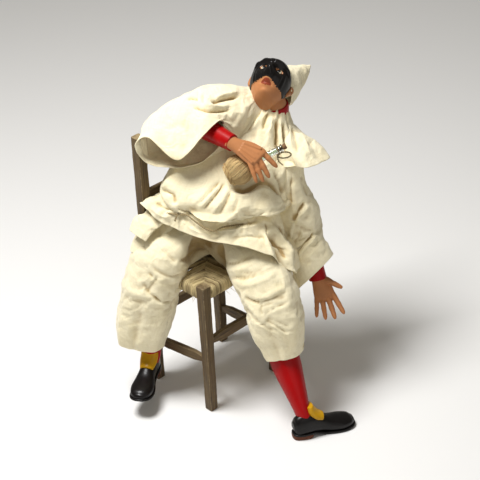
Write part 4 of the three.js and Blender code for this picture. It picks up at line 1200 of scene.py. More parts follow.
CUFF_WAY = (0.6, -0.3, -0.6)
LEFT_CUFF = station_rows(
    (90, -12, 17, 18, 15, (-0.63, 0, -0.77), CUFF_WAY),
    (94, -16, 2, 23, 17, (-0.68, 0, -0.73), CUFF_WAY),
    (98, -20, -13, 27, 17, (-0.73, 0, -0.68), CUFF_WAY),
)

BODY_CREASES = crease_rows(
    (-1.6, 2.0, 2.5, (262, 108), (252, 116), (243, 122)),
    (1.4, 2.0, 2.0, (266, 110), (258, 120), (252, 130)),
    (-1.8, 1.6, 1.6, (269, 112), (265, 122), (262, 130)),
    (1.8, 1.6, 1.6, (273, 115), (271, 126), (266, 134)),
    (-3.4, 2.6, 1.8, (277, 118), (277, 133), (275, 150)),
    (2.6, 1.6, 1.8, (280, 117), (281, 132), (282, 148)),
    (-2.6, 1.5, 1.6, (283, 122), (284, 135), (286, 150)),
    (1.8, 1.6, 1.8, (287, 122), (287, 136), (288, 150)),
    (-1.6, 1.6, 1.8, (291, 125), (293, 134), (296, 142)),
    (-1.2, 1.8, 2.6, (240, 118), (248, 113), (258, 109)),
    (-1.0, 2.4, 2.4, (228, 112), (238, 116), (250, 120)),
    (-2.0, 2.4, 1.8, (212, 110), (226, 109), (244, 107)),
    (-2.2, 1.6, 1.2, (225, 178), (215, 193), (202, 209)),
    (1.6, 1.6, 2.4, (229, 184), (222, 198), (211, 213)),
    (-1.6, 1.4, 1.1, (222, 176), (209, 190), (196, 204)),
    (1.1, 1.0, 1.0, (223, 180), (212, 192), (199, 207)),
    (-1.4, 1.3, 1.1, (231, 188), (226, 200), (218, 214)),
    (-1.0, 1.2, 1.4, (238, 192), (236, 202), (231, 213)),
    (1.0, 4.0, 4.0, (208, 186), (200, 196), (190, 204)),
    (-4.0, 6.0, 1.3, (226, 184), (243, 190), (262, 181), (277, 191), (290, 204)),
    (3.2, 1.2, 9.0, (226, 188), (243, 194), (262, 185), (275, 194), (288, 205)),
    (-3.6, 2.2, 1.5, (290, 204), (283, 213), (262, 218), (225, 218)),
    (1.6, 1.8, 1.8, (262, 214), (276, 210), (287, 206)),
    (-1.0, 1.6, 1.6, (238, 212), (255, 214), (268, 208)),
    (1.8, 1.2, 4.5, (172, 192), (176, 204), (186, 213), (199, 221), (210, 222)),
    (-3.2, 2.4, 1.6, (160, 186), (166, 190), (172, 193), (175, 204)),
    (1.6, 2.2, 2.2, (168, 176), (166, 182), (160, 186)),
    (-2.2, 2.0, 1.8, (290, 172), (292, 186), (289, 200)),
    (-1.8, 2.0, 1.8, (272, 170), (280, 182), (284, 192)),
    (1.8, 2.0, 2.4, (262, 219), (276, 222), (292, 224)),
    (-1.8, 1.6, 1.6, (268, 216), (280, 218), (290, 214)),
)
SKIRT_CREASES = crease_rows(
    (-4.6, 2.4, 1.6, (264, 220), (269, 233), (277, 246), (288, 262)),
    (3.6, 1.8, 2.0, (270, 222), (281, 237), (289, 249), (294, 268)),
    (-2.6, 2.0, 1.8, (278, 224), (286, 236), (293, 252)),
    (1.4, 2.4, 3.4, (216, 232), (240, 229), (262, 224)),
    (-1.6, 1.6, 1.6, (220, 228), (240, 224), (260, 221)),
    (-1.2, 2.0, 2.4, (228, 238), (250, 236), (268, 238)),
    (-2.0, 2.0, 1.6, (154, 201), (166, 209), (176, 208)),
    (1.4, 2.4, 2.4, (150, 206), (160, 215), (172, 218)),
    (1.0, 2.4, 2.4, (188, 226), (198, 232), (212, 235)),
)
SLEEVE_CREASES = crease_rows(
    (-2.0, 1.2, 1.6, (186, 99), (192, 98), (198, 99)),
    (-3.0, 1.5, 1.8, (210, 103), (222, 99), (241, 95)),
    (1.8, 2.6, 2.2, (212, 99), (224, 94), (240, 91)),
    (-2.6, 1.6, 1.6, (188, 107), (198, 108), (213, 111), (232, 109)),
    (1.8, 2.0, 1.8, (200, 104), (214, 106), (232, 105)),
    (-0.9, 1.2, 1.2, (198, 88), (197, 98), (198, 109)),
    (-0.7, 0.9, 0.9, (203, 92), (203, 100), (203, 106)),
    (0.8, 6.0, 6.0, (150, 128), (170, 133), (188, 130)),
    (1.2, 3.0, 3.0, (140, 138), (158, 145), (178, 158)),
    (-2.2, 2.4, 2.4, (152, 146), (160, 152), (158, 160)),
)
LEFT_CREASES = crease_rows(
    (-1.4, 1.8, 1.8, (301, 172), (305, 186), (312, 198)),
    (-2.6, 2.0, 1.6, (306, 199), (298, 210), (293, 222)),
    (1.8, 1.8, 2.0, (310, 203), (301, 214), (297, 224)),
    (-2.0, 2.0, 1.6, (292, 176), (290, 192), (291, 206)),
    (1.6, 2.0, 2.0, (296, 214), (292, 226), (290, 240)),
    (-1.2, 2.2, 2.2, (303, 222), (299, 234), (292, 246)),
    (-2.8, 1.8, 1.3, (317, 230), (306, 242), (294, 255)),
    (1.4, 1.2, 2.6, (319, 234), (308, 246), (296, 259)),
)
CAP_CREASES = crease_rows(
    (-2.2, 1.8, 1.6, (284, 120), (283, 134), (281, 150)),
    (1.6, 1.8, 2.2, (289, 122), (290, 136), (291, 150)),
    (-1.2, 2.0, 2.4, (292, 126), (296, 140), (298, 156)),
    (0.9, 4.0, 4.0, (300, 130), (306, 144), (310, 156)),
)


def ring_loft(loops, around, rings):
    """A grid through closed loops of points."""
    lines = np.array([spline(loop, around, closed=True) for loop in loops])
    return np.stack([spline(lines[:, i], rings) for i in range(around)], axis=1)


def along_normal(grid, relief):
    """The grid with a relief raised on it, angle counted from its first column."""
    rings, around = grid.shape[:2]
    angle = circle(around)[None, :]
    height = relief(angle, np.linspace(0, 1, rings)[:, None])
    return grid + outward(grid) * height[..., None]


def nearness(grid, pull):
    """How near each point is to the middle of a tug on the cloth, from 0 to 1."""
    away = ((grid - np.asarray(pull.at, float)) ** 2).sum(axis=-1)
    return np.exp(-away / pull.reach**2)


def clear_of_chair(grid):
    """The cloth moved in front of the chair's back, and clear of its posts."""
    along, front = (way[:2] for way in chair_face())
    right, left = leg_middle("back_right"), leg_middle("back_left")
    ahead = (grid[..., :2] - right) @ front
    least = np.full(grid.shape[:2], -np.inf)
    reach = LEG_TOP_HALF + CHAIR_GAP
    for middle in (right, left):
        beside = np.abs((grid[..., :2] - middle) @ along)
        least = np.maximum(least, reach - POST_SLOPE * np.maximum(0, beside - reach))
    across = (grid[..., :2] - right) @ along
    between = (across > 0) & (across < (left - right) @ along)
    least = np.where(between, np.maximum(least, SLAT_HALF_THICK + CHAIR_GAP), least)
    top = unplace(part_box(CHAIR_LEGS["back_right"])[1])[2]
    below = np.clip((top + OVER_POST - grid[..., 2]) / OVER_POST, 0, 1)
    shift = np.maximum(0, least - ahead) * below
    moved = grid.copy()
    moved[..., :2] += shift[..., None] * front
    return moved


def folds(rows, turned=False):
    """Soft ridges and valleys that run along a garment, each at its own angle in degrees."""

    def relief(angle, along):
        angle = np.pi - angle if turned else angle
        height = 0.0
        for ridge in rows:
            centre = np.radians(ridge.at + ridge.drift * along)
            away = np.arctan2(np.sin(angle - centre), np.cos(angle - centre))
            share = np.clip((along - ridge.start) / (ridge.end - ridge.start), 0, 1)
            across = np.exp(-((away / math.radians(ridge.width)) ** 2))
            height = height + ridge.height * across * np.sin(np.pi * share)
        return height

    return relief


def together(*reliefs):
    """Several reliefs as one."""
    return lambda angle, along: sum(relief(angle, along) for relief in reliefs)


def gathers(number, height, start, end):
    """Even gathers of a drawn-up edge, which die away along the cloth."""

    def relief(angle, along):
        share = np.clip((along - start) / (end - start), 0, 1)
        uneven = np.cos(number * angle) + 0.5 * np.cos((number * 1.7) * angle + 1)
        return height * share * uneven

    return relief


# Painted shade in cloth pulled back further than DEEP_TUG, as in the hollow between the thighs
TUG_SHADE_DEPTH = 2.2
DEEP_TUG = 5
HEM_HOLD = 0.8


def garment(
    grid, drawn, seed, hem=True, crisp=1.0, lean=(1, 1, 1), growth=0.05, limit=2.5, pulls=()
):
    """One panel of cloth with its drawn folds, its tugs, its slack and its hem, with painted shade
    in its folds and where it is tugged deep.

    crisp is how crumpled it is, and lean how much its small creases face each of the three ways.
    """
    # Painted shade: how near each point is to a tug that pulls it deep behind
    aged = np.zeros(grid.shape[:2])
    for pull in pulls:
        if pull.shift[1] > DEEP_TUG:
            aged = np.maximum(aged, nearness(grid, pull))
    for pull in pulls:
        grid = grid + nearness(grid, pull)[..., None] * np.asarray(pull.shift, float)
    hold = (1.0, 0.0, 0.0, HEM_HOLD if hem else 0.0, 1.0)
    rough = ripples(grid, 26.0, 1.0, seed)
    rough = rough + crumple(grid, 17.0, 2.0 * crisp, seed, lean)
    rough = rough + crumple(grid, 8.0, 1.0 * crisp, seed + 4, lean)
    grid = creased(grid + outward(grid) * rough[..., None], drawn)
    grid = clear_of_chair(slackened(grid, growth, hold, limit))
    # Painted shade of the folds and of the deep tugs, carried by the shade attribute
    shade = hollow(grid) - TUG_SHADE_DEPTH * aged
    return patch(turned_hem(grid) if hem else grid, shade)


class SERVANT_OT_smock(bpy.types.Operator):
    """Sew the smock: body, skirt, tails, bell sleeve, shoulder cape, sleeve and cuff"""

    bl_idname = "servant.smock"
    bl_label = "Smock"

    def execute(self, context):
        cloth = made_once("Smock Cotton", cotton, context.scene.servant_cloth)
        relief = together(gathers(14, 0.8, 0.72, 0.97), folds(SMOCK_FOLDS))
        body = loft(SMOCK_BODY, 230, 124, relief)
        skirt = along_normal(ring_loft(SKIRT, 260, 46), folds(SKIRT_FOLDS))
        sleeve = ring_loft(RIGHT_SLEEVE, 190, 100)
        cap = loft(LEFT_CAP, 120, 44, folds(LEFT_CAP_FOLDS, turned=True))
        left = loft(LEFT_SLEEVE, 110, 84, folds(LEFT_SLEEVE_FOLDS, turned=True))
        cuff = loft(LEFT_CUFF, 120, 28)
        patches = [
            garment(
                body, BODY_CREASES, 1.0, False, 0.6, lean=(1.2, 0.7, 0.5), pulls=SMOCK_PULLS
            ),
            garment(skirt, SKIRT_CREASES, 2.0, crisp=0.7, lean=(1.2, 0.7, 0.3), limit=1.0),
            garment(sleeve, SLEEVE_CREASES, 3.0, crisp=0.45, limit=1.2),
            garment(cap, CAP_CREASES, 4.0, crisp=0.45, limit=1.2),
            garment(left, LEFT_CREASES, 5.0, False, 0.8, (1, 1, 0.7), pulls=SLEEVE_PULLS),
            garment(cuff, LEFT_CREASES, 6.0, crisp=0.4, limit=1.0),
        ]
        for k, tail in enumerate(TAILS):
            patches.append(garment(loft(tail, 70, 40), [], 7.0 + k, crisp=0.8, limit=1.0))
        made = taken(mesh_object("smock_cloth", patches, [cloth]), "smock")
        return {"FINISHED"}


# Trousers
RIGHT_LEG_CLOTH = station_rows(
    (16, 14, 26, 32, 22, (0.5, -0.86, 0)),
    (-12, 0, 24, 29, 24, (0.5, -0.86, 0)),
    (-38, -15, 15, 29, 26, (0.7, -0.7, 0)),
    (-53, -20, -8, 28, 26, (1, -0.3, -0.2)),
    (-60, -20, -38, 27, 25, (1, 0, 0)),
    (-67, -22, -62, 25.5, 22, (1, 0, 0)),
    (-70, -23, -80, 22.5, 18, (1, 0, 0)),
)
LEFT_LEG_CLOTH = station_rows(
    (8, 14, 26, 32, 22, (1, 0.4, 0)),
    (26, -8, 21, 30, 25, (1, 0.5, 0)),
    (44, -38, 10, 28, 26, (1, 0.4, 0)),
    (56, -59, -11, 27, 25, (1, 0.2, 0)),
    (60, -66, -38, 26, 24, (1, 0.1, 0)),
    (63, -69, -54, 22, 20.5, (1, 0.1, 0)),
    (65, -73, -68, 18, 17.8, (1, 0.1, 0)),
)
RIGHT_LEG_FOLDS = fold_rows(
    (250, 16, -4, 0.3, 0.75, 20), (300, 18, 3, 0.4, 1.2), (200, 20, 2.5, 0.5, 1.2),
    (60, 16, 3, 0.3, 1.2), (110, 12, -3, 0.4, 1.2), (150, 12, 2.5, 0.5, 1.2),
)
LEFT_LEG_FOLDS = fold_rows(
    (290, 16, 3.5, 0.25, 0.8, -15), (245, 14, -3.5, 0.4, 0.85), (340, 18, 2.5, 0.5, 1.2),
    (60, 16, 3, 0.3, 1.2), (110, 12, -3, 0.4, 1.2), (150, 12, 2.5, 0.5, 1.2),
)
LEG_CLOTHS = [(RIGHT_LEG_CLOTH, RIGHT_LEG_FOLDS), (LEFT_LEG_CLOTH, LEFT_LEG_FOLDS)]
TROUSER_CREASES = crease_rows(
    (-6.0, 6.0, 6.0, (196, 268), (200, 256), (206, 246)),
    (-1.3, 1.4, 1.6, (163, 247), (170, 255), (177, 262)),
    (1.0, 2.0, 2.0, (160, 252), (168, 260), (180, 266)),
    (-1.0, 1.4, 1.4, (140, 242), (144, 246), (146, 250)),
    (1.0, 1.8, 1.8, (183, 268), (192, 262), (204, 260)),
    (-1.7, 1.8, 2.4, (178, 262), (190, 255), (204, 246)),
    (-1.8, 3.4, 3.4, (140, 282), (150, 294), (163, 303)),
    (1.3, 3.0, 3.0, (150, 276), (162, 283), (173, 292)),
    (1.1, 2.6, 3.0, (146, 290), (158, 297), (166, 310)),
    (-1.0, 2.4, 2.4, (160, 275), (152, 284), (146, 296)),
    (0.7, 2.4, 2.4, (176, 300), (170, 318), (165, 336)),
    (0.5, 4.0, 4.0, (130, 300), (126, 320), (124, 340)),
    (-1.4, 1.8, 1.6, (222, 262), (236, 262), (256, 253)),
    (1.1, 1.6, 2.0, (222, 268), (240, 268), (260, 258)),
    (-1.1, 1.8, 1.8, (226, 278), (246, 276), (268, 268)),
    (1.0, 2.2, 2.2, (236, 286), (256, 283), (278, 272)),
    (-1.4, 1.4, 1.6, (244, 296), (254, 302), (262, 304)),
    (-1.2, 1.4, 1.4, (262, 303), (261, 310), (264, 316)),
    (1.0, 2.0, 2.0, (252, 300), (268, 296), (288, 284)),
    (-1.0, 1.6, 1.6, (258, 308), (274, 302), (292, 292)),
    (0.8, 2.0, 2.0, (262, 314), (280, 310), (296, 300)),
    (-0.8, 1.4, 1.8, (264, 316), (278, 322), (292, 328)),
    (0.6, 2.4, 2.4, (250, 318), (260, 326), (272, 332)),
    (-0.5, 2.4, 2.4, (272, 336), (282, 342), (292, 344)),
    (-1.3, 1.0, 1.2, (246, 300), (262, 301), (276, 297), (290, 288)),
    (-1.2, 0.9, 1.1, (262, 316), (274, 309), (292, 299)),
    (-1.0, 0.9, 1.2, (264, 318), (276, 326), (288, 334)),
    (-1.1, 1.0, 1.2, (238, 272), (252, 271), (270, 262)),
    (-1.0, 1.0, 1.2, (236, 280), (254, 276), (276, 266)),
    (-1.2, 1.1, 1.3, (150, 262), (158, 270), (172, 276), (184, 271)),
    (-1.1, 1.1, 1.3, (146, 270), (156, 280), (170, 286)),
    (-1.2, 1.1, 1.4, (152, 296), (162, 302), (172, 300)),
)
# The hollow between the thighs, over the corner of the seat, pulled back and painted in shade
LAP_PULLS = [
    Pull((0, -27, 26), 16, (0, 20, -6)), Pull((-8, -28, 13), 15, (-5, 13, 11)),
    Pull((12, -32, 13), 12, (4, 12, 8)),
]
LEG_LEAN = (0.7, 0.7, 1.1)


class SERVANT_OT_trousers(bpy.types.Operator):
    """Sew the wide trousers"""

    bl_idname = "servant.trousers"
    bl_label = "Trousers"

    def execute(self, context):
        cloth = made_once("Trouser Cotton", cotton, context.scene.servant_cloth)
        patches = []
        for k, (form, rows) in enumerate(LEG_CLOTHS):
            grid = loft(form, 170, 150, folds(rows))
            values = (11.0 + k, True, 0.6, LEG_LEAN, 0.035, 1.5, LAP_PULLS)
            patches.append(garment(grid, TROUSER_CREASES, *values))
        made = taken(mesh_object("trousers_cloth", patches, [cloth]), "trousers")
        return {"FINISHED"}


# Cap
CAP_WAY = (0.75, 0.62, 0.05)
POINTED_CAP = station_rows(
    (72, 44, 153, 21, 21), (80, 51, 152, 19, 18), (90, 60, 153, 13, 12), (99, 67, 156, 7, 6),
    (105, 71, 159, 1.6, 1.6),
    side=(0, 0, 1),
    axis=CAP_WAY,
)


class SERVANT_OT_cap(bpy.types.Operator):
    """Sew the soft pointed cap"""

    bl_idname = "servant.cap"
    bl_label = "Pointed Cap"

    def execute(self, context):
        cloth = made_once("Cap Cotton", cotton, context.scene.servant_cloth)
        grid = loft(POINTED_CAP, 90, 60)
        rough = ripples(grid, 14.0, 1.1, 21.0)
        grid = round_end(grid + outward(grid) * rough[..., None], 0.8)
        panel = patch(turned_hem(grid[::-1]))
        made = taken(mesh_object("hat_cloth", [panel], [cloth]), "hat")
        return {"FINISHED"}


# Head
HEAD_CENTRE = np.array([66.0, 31.0, 163.0])
HEAD_UP = unit([0.367, 0.884, 0.29])
HEAD_LEFT = np.array([0.928, -0.326, -0.18])
HEAD_BACK = unit(np.cross(HEAD_UP, HEAD_LEFT))
HEAD_SIDE = np.cross(HEAD_BACK, HEAD_UP)
SKULL = np.array([17.6, 20.5, 24.5])
EYE_ACROSS = 7
EYE_UP = 1.5
EYE_DEPTH = -15.6
EYE_RADIUS = 3.0
MOUTH_UP = -14.2
MASK_THICKNESS = 1.15
NECK = station_rows(
    (68, 29, 128, 12, 11), (70, 28, 140, 11, 10.5), (69, 26, 149, 10, 10), (66, 29, 161, 10, 10),
    side=HEAD_SIDE,
)
NECK_BAND = station_rows(
    (69.6, 28.4, 137, 12.2, 11.8), (70.2, 28.0, 140, 12.3, 11.8), (69.8, 27.4, 144, 11.9, 11.5),
    side=HEAD_SIDE,
)


def swell(points, centre, reach):
    """Soft rise round a point of the head."""
    return np.exp(-(((points - np.asarray(centre)) / np.asarray(reach)) ** 2).sum(axis=-1))


def face_skin(columns=200, rows=150):
    """Rings of the head in its own axes, face along -Y, and where the half mask covers it."""
    turn = circle(columns)[None, :]
    tilt = np.linspace(0.001, np.pi - 0.001, rows)[:, None]
    ball = np.stack(
        [np.sin(tilt) * np.cos(turn), np.sin(tilt) * np.sin(turn), np.cos(tilt) + 0 * turn], axis=-1
    )
    low = np.maximum(0, -ball[..., 2])
    forward = np.maximum(0, -ball[..., 1])
    p = ball * SKULL
    p[..., 0] *= 1 - 0.32 * low**2
    p[..., 1] += 3.5 * low * (1 - forward)
    under = np.maximum(0, -p[..., 2] - 19.5)
    p[..., 2] += 0.55 * under
    p[..., 1] -= 0.9 * under
    front = -SKULL[1]
    lift = 0 * low
    lift += 8.5 * swell(p, (0, front, -4.5), (4, 9, 6.5))
    lift += 3.0 * swell(p, (0, front, 7.5), (13, 9, 3.6))
    for eye in (-1, 1):
        lift -= 2.8 * swell(p, (EYE_ACROSS * eye, front, EYE_UP), (4, 9, 3.4))
        lift += 2.2 * swell(p, (9 * eye, front + 4, -7), (5, 9, 4))
        lift += 1.3 * swell(p, (2.8 * eye, front, -8.6), (1.9, 9, 2))
        lift -= 0.8 * swell(p, (4.6 * eye, front, -11.5), (1.2, 9, 4))
    lift -= 2.0 * swell(p, (0, front, MOUTH_UP), (6.4, 9, 0.75))
    lift += 1.1 * swell(p, (0, front, -12.6), (4.6, 9, 1.2))
    lift += 1.3 * swell(p, (0, front, -15.9), (4.4, 9, 1.3))
    lift -= 0.9 * swell(p, (0, front, -18.2), (5, 9, 1.2))
    lift += 3.2 * swell(p, (0, front + 3, -22), (5, 9, 3.6))
    p[..., 1] -= lift
    across, up = np.abs(p[..., 0]), p[..., 2]
    lower = up + 11.0 + 1.8 * np.exp(-(((across - 9.5) / 4.2) ** 2))
    upper = 19.5 - 0.012 * across**2 - up
    beside = 3.0 - p[..., 1]
    opening = np.hypot((across - EYE_ACROSS) / 3.3, (up - EYE_UP) / 1.9) - 1
    opening = np.where(p[..., 1] < 0, opening * 2, 9)
    edge = np.minimum.reduce([lower, upper, beside, opening])
    mask = np.clip(edge / 0.9 + 0.5, 0, 1)
    mask = mask * mask * (3 - 2 * mask)
    wrinkle = 0 * up
    for level, bend in ((9.5, 0.018), (12.2, 0.03), (14.6, 0.045)):
        line = up - level + bend * across**2 + 0.7 * np.cos(across * 0.9)
        wrinkle += 1.0 * np.exp(-((line / 0.75) ** 2))
    brow = up - 6.2 - 1.6 * np.sin(np.clip(across / 14, 0, 1) * np.pi)
    wrinkle += 1.8 * np.exp(-((brow / 1.3) ** 2)) * (across > 1.5)
    for start in (10.5, 13.2):
        line = across - start + 0.02 * (up + 4) ** 2
        wrinkle += 0.7 * np.exp(-((line / 0.7) ** 2)) * (up < 3)
    out = unit(ball / SKULL)
    return p + out * (mask * (MASK_THICKNESS + wrinkle * forward))[..., None], mask


def ear_rings(side):
    """One ear in the head's own axes: a leaning shell with a rim."""
    x = side * (SKULL[0] + 0.6)
    lean = (0.25 * side, 1, 0)
    shell = [
        Station((x + side * 0.6, 4.5, 5.6), 1.8, 1.2, lean),
        Station((x + side * 1.6, 4.8, 4.2), 3.6, 1.9, lean),
        Station((x + side * 1.6, 4.0, 0.4), 3.5, 1.8, lean),
        Station((x + side * 0.8, 2.8, -3.4), 2.6, 1.7, lean),
        Station((x - side * 0.6, 2.0, -6.4), 1.9, 1.5, lean),
    ]
    grid = closed_loft(shell, 40, 30, (0.8, 0.9))
    bowl = swell(grid, (x + side * 3.4, 3.6, 1.0), (2.2, 2.0, 3.4))
    grid[..., 0] -= side * 2.2 * bowl
    return grid


def eye_rings(side, size):
    """An eyeball in its opening, or the iris on it, in the head's own axes."""
    turn = circle(24)
    rings = []
    for tilt in np.linspace(0.02, 1.3, 9):
        reach = EYE_RADIUS * math.sin(tilt * size)
        depth = EYE_RADIUS * math.cos(tilt * size) + (0.06 if size < 1 else 0.0)
        across = side * EYE_ACROSS + reach * np.cos(turn)
        up = EYE_UP + reach * np.sin(turn)
        rings.append(np.stack([across, np.full(24, EYE_DEPTH - depth), up], axis=1))
    return np.array(rings)


def head_place(points):
    """Points of the head's own axes in the figure's."""
    return (
        HEAD_CENTRE
        + points[..., 0:1] * HEAD_SIDE
        + points[..., 1:2] * HEAD_BACK
        + points[..., 2:3] * HEAD_UP
    )


class SERVANT_OT_head(bpy.types.Operator):
    """Carve the head with its glossy black half mask, ears, neck and red neck band"""

    bl_idname = "servant.head"
    bl_label = "Head"

    def execute(self, context):
        colours = context.scene.servant_paint
        paints = [
            flesh_paint(colours),
            paint("Mask Lacquer", colours.black, "3a2a20", 0.34, 0.2, 0.1),
            red_paint(colours),
            paint("Lip Paint", linear("8a3f2a"), "5c2a1c", 0.4, 0.1),
            paint("Eye White", linear("d8cdb0"), "8a7a5a", 0.3, 0.5),
            paint("Hair Paint", linear("241812"), "4a3424", 0.5, 0.1),
        ]
        flesh, black, red, lips, white, hair = range(len(paints))
        points, mask = face_skin()
        skin = patch(head_place(points))
        ears = [patch(head_place(ear_rings(side))) for side in (-1, 1)]
        neck = patch(loft(NECK, 48, 30))
        band = patch(capped(loft(NECK_BAND, 60, 10), 0.3, 0.3))
        eyes = [patch(head_place(eye_rings(side, size))) for side in (-1, 1) for size in (1.0, 0.5)]
        zones = [flesh, flesh, flesh, flesh, red, white, black, white, black]
        made = mesh_object("head_carving", [skin, *ears, neck, band, *eyes], paints, zones)
        covered = mask.reshape(-1)[skin.faces].mean(axis=1) > 0.5
        middle = points.reshape(-1, 3)[skin.faces].mean(axis=1)
        mouth = np.hypot(middle[:, 0] / 4.6, (middle[:, 2] - MOUTH_UP) / 2.3) < 1
        mouth &= (middle[:, 1] < 0) & ~covered
        hairy = (middle[:, 1] > 2.5) & (middle[:, 2] > -9) & ~covered
        index = np.zeros(len(made.data.polygons), np.int32)
        made.data.polygons.foreach_get("material_index", index)
        index[: len(covered)] = np.select([mouth, hairy, covered], [lips, hair, black], flesh)
        made.data.polygons.foreach_set("material_index", index)
        taken(made, "head")
        return {"FINISHED"}


# Arms
HAND_LENGTH = 50.0
PALM_SHARE = 0.5
FINGERS = [(7.9, 0.47, 2.7), (2.8, 0.5, 2.75), (-2.4, 0.46, 2.6), (-7.2, 0.38, 2.3)]
KNUCKLES = [
    (0.2, 1.06), (0.46, 0.94), (0.52, 1.02), (0.76, 0.84), (0.81, 0.88), (0.95, 0.7), (1.0, 0.5),
]
THUMB = [(0, 3.2), (0.12, 3.4), (0.2, 2.8), (0.24, 2.9), (0.34, 2.5), (0.4, 1.8)]
HAND_VOXEL = 0.42
Hand = namedtuple("Hand", "wrist along up thumb_side spreads curl thumb_spread")
RIGHT_ELBOW = np.array([-14.0, 17.0, 141.0])
RIGHT_HAND = Hand(
    (29.5, -29, 135.5), (0.8, -0.36, -0.42), (0.2, -0.75, 0.62), -1, (-10, -26, -31, -37), 12, 10
)
LEFT_ELBOW = np.array([91.0, -4.0, 40.0])
LEFT_HAND = Hand(
    (101.4, -20, -16.5), (0.27, -0.26, -0.93), (0.05, 0.9, -0.25), 1, (14, 3, -6, -16), 22, 48
)
# Half width and half depth of each under-sleeve at shares of its length
RIGHT_UNDER_SLEEVE = [(0, 9.4, 8.6), (0.4, 10.6, 9.2), (0.78, 9, 8), (0.97, 8.1, 7.2)]
LEFT_UNDER_SLEEVE = [(0, 9, 9), (0.6, 8.5, 8), (0.9, 8.2, 7.6), (1.06, 8.6, 7.8)]


def own_axes(origin, along, up):
    """Carries points from a piece's own axes, with +Y along and +Z up, to the figure's."""
    y = unit(along)
    x = unit(np.cross(y, up))
    z = np.cross(x, y)
    return lambda points: np.asarray(origin) + np.asarray(points) @ np.array([x, y, z])


def hand_grids(hand):
    """Closed lofts of a palm, four fingers with knuckles, and a thumb."""
    length, side = HAND_LENGTH, (1, 0, 0)
    thumb = hand.thumb_side
    palm = [
        Station((0, -0.12 * length, 0), 6.2, 4.9, side),
        Station((0, 0.06 * length, 0), 6.7, 4.6, side),
        Station((0.8 * thumb, 0.28 * length, 0), 9.4, 4.3, side),
        Station((0.3 * thumb, PALM_SHARE * length, 0.3), 10.2, 3.4, side),
        Station((0, 0.55 * length, 0.2), 8.8, 2.0, side),
    ]
    grids = [closed_loft(palm, 36, 30, (1, 0.6))]
    for (across, share, thick), spread in zip(FINGERS, hand.spreads):
        turn = math.radians(spread) * thumb
        reach = share * length
        at = np.array([across * thumb, (PALM_SHARE - 0.08) * length, 0.4])
        stations = [Station(at, thick, thick, side)]
        before = 0.0
        for along, size in KNUCKLES:
            bend = math.radians(hand.curl) * (1 + 2 * along) * 0.6
            way = [math.sin(turn), math.cos(turn) * math.cos(bend), -math.sin(bend)]
            at = at + unit(way) * (along - before) * reach
            before = along
            stations.append(Station(at, thick * size, thick * size * 0.96, side))
        grids.append(closed_loft(stations, 20, 40, (0.5, 1.1)))
        wrist_end = [across * 0.55 * thumb, 0.16 * length, 3.6]
        tendon = np.array([wrist_end, [across * thumb, 0.47 * length, 3.0]])
        grids.append(capped(sweep(even(tendon, 10), 1.3, 10), 0.8, 0.8))
    out = math.radians(hand.thumb_spread)
    root = np.array([4.3 * thumb, 0.08 * length, -1.0])
    way = unit([math.sin(out) * thumb, math.cos(out), -0.25])
    stations = [Station(root + way * s * length, t, t * 0.92, (0, 0, 1)) for s, t in THUMB]
    grids.append(closed_loft(stations, 20, 26, (0.6, 1.2)))
    return [own_axes(hand.wrist, hand.along, hand.up)(g) for g in grids]


def arm(name, node_name, elbow, hand, halves, colours):
    """A carved hand with its painted red under-sleeve."""
    wrist = np.array(hand.wrist, float)
    made = carved(name, hand_grids(hand), HAND_VOXEL)
    made.data.materials.append(flesh_paint(colours))
    taken(made, node_name)
    side = (0, 0, 1) if abs(unit(wrist - elbow)[2]) < 0.7 else (1, 0, 0)
    stations = [Station(elbow + (wrist - elbow) * s, w, d, side) for s, w, d in halves]
    sleeve = patch(closed_loft(stations, 64, 50, (1.0, 0.5)))
    taken(mesh_object(name + "_sleeve", [sleeve], [red_paint(colours)]), node_name)


class SERVANT_OT_arms(bpy.types.Operator):
    """Carve both hands and paint the red under-sleeves"""

    bl_idname = "servant.arms"
    bl_label = "Arms"

    def execute(self, context):
        colours = context.scene.servant_paint
        right = RIGHT_ELBOW, RIGHT_HAND, RIGHT_UNDER_SLEEVE
        left = LEFT_ELBOW, LEFT_HAND, LEFT_UNDER_SLEEVE
        arm("right_arm_carving", "right_arm", *right, colours)
        arm("left_arm_carving", "left_arm", *left, colours)
        return {"FINISHED"}


# Legs
SHOE_LENGTH = 60.0
SHOE_HEIGHT = 24.0
HEEL_LIFT = 3.6
SHOE_SHAPE = [
    (0.0, 4.6, 9.0, 0.74), (0.05, 6.6, 3.4, 0.92), (0.18, 7.8, 3.2, 1.04), (0.34, 7.6, 3.2, 1.0),
    (0.48, 7.9, 2.6, 0.8), (0.62, 9.8, 1.6, 0.61), (0.78, 11.0, 1.3, 0.51), (0.92, 9.2, 1.9, 0.43),
    (0.985, 5.6, 3.0, 0.33),
]
# The right half of each outline, from the back of the heel
SOLE_HALF = [
    (0, -1.2), (5.6, 0.6), (8.4, 9), (8.2, 20), (8.4, 29), (10.6, 38), (11.8, 47), (10.2, 56),
    (5.6, 60.6), (0, 61.6),
]
SOLE_LAYERS = ((0.3, 0.94), (0.1, 0.99), (0.5, 1.0), (1.7, 1.0), (2.1, 0.98), (2.2, 0.9))
HEEL_HALF = [(0, -1.4), (5.6, 0.4), (8.3, 8), (8.0, 17), (0, 18.6)]
HEEL_LAYERS = ((0.0, 0.92), (0.1, 0.97), (0.6, 0.98), (3.4, 1.0), (4.0, 0.98))
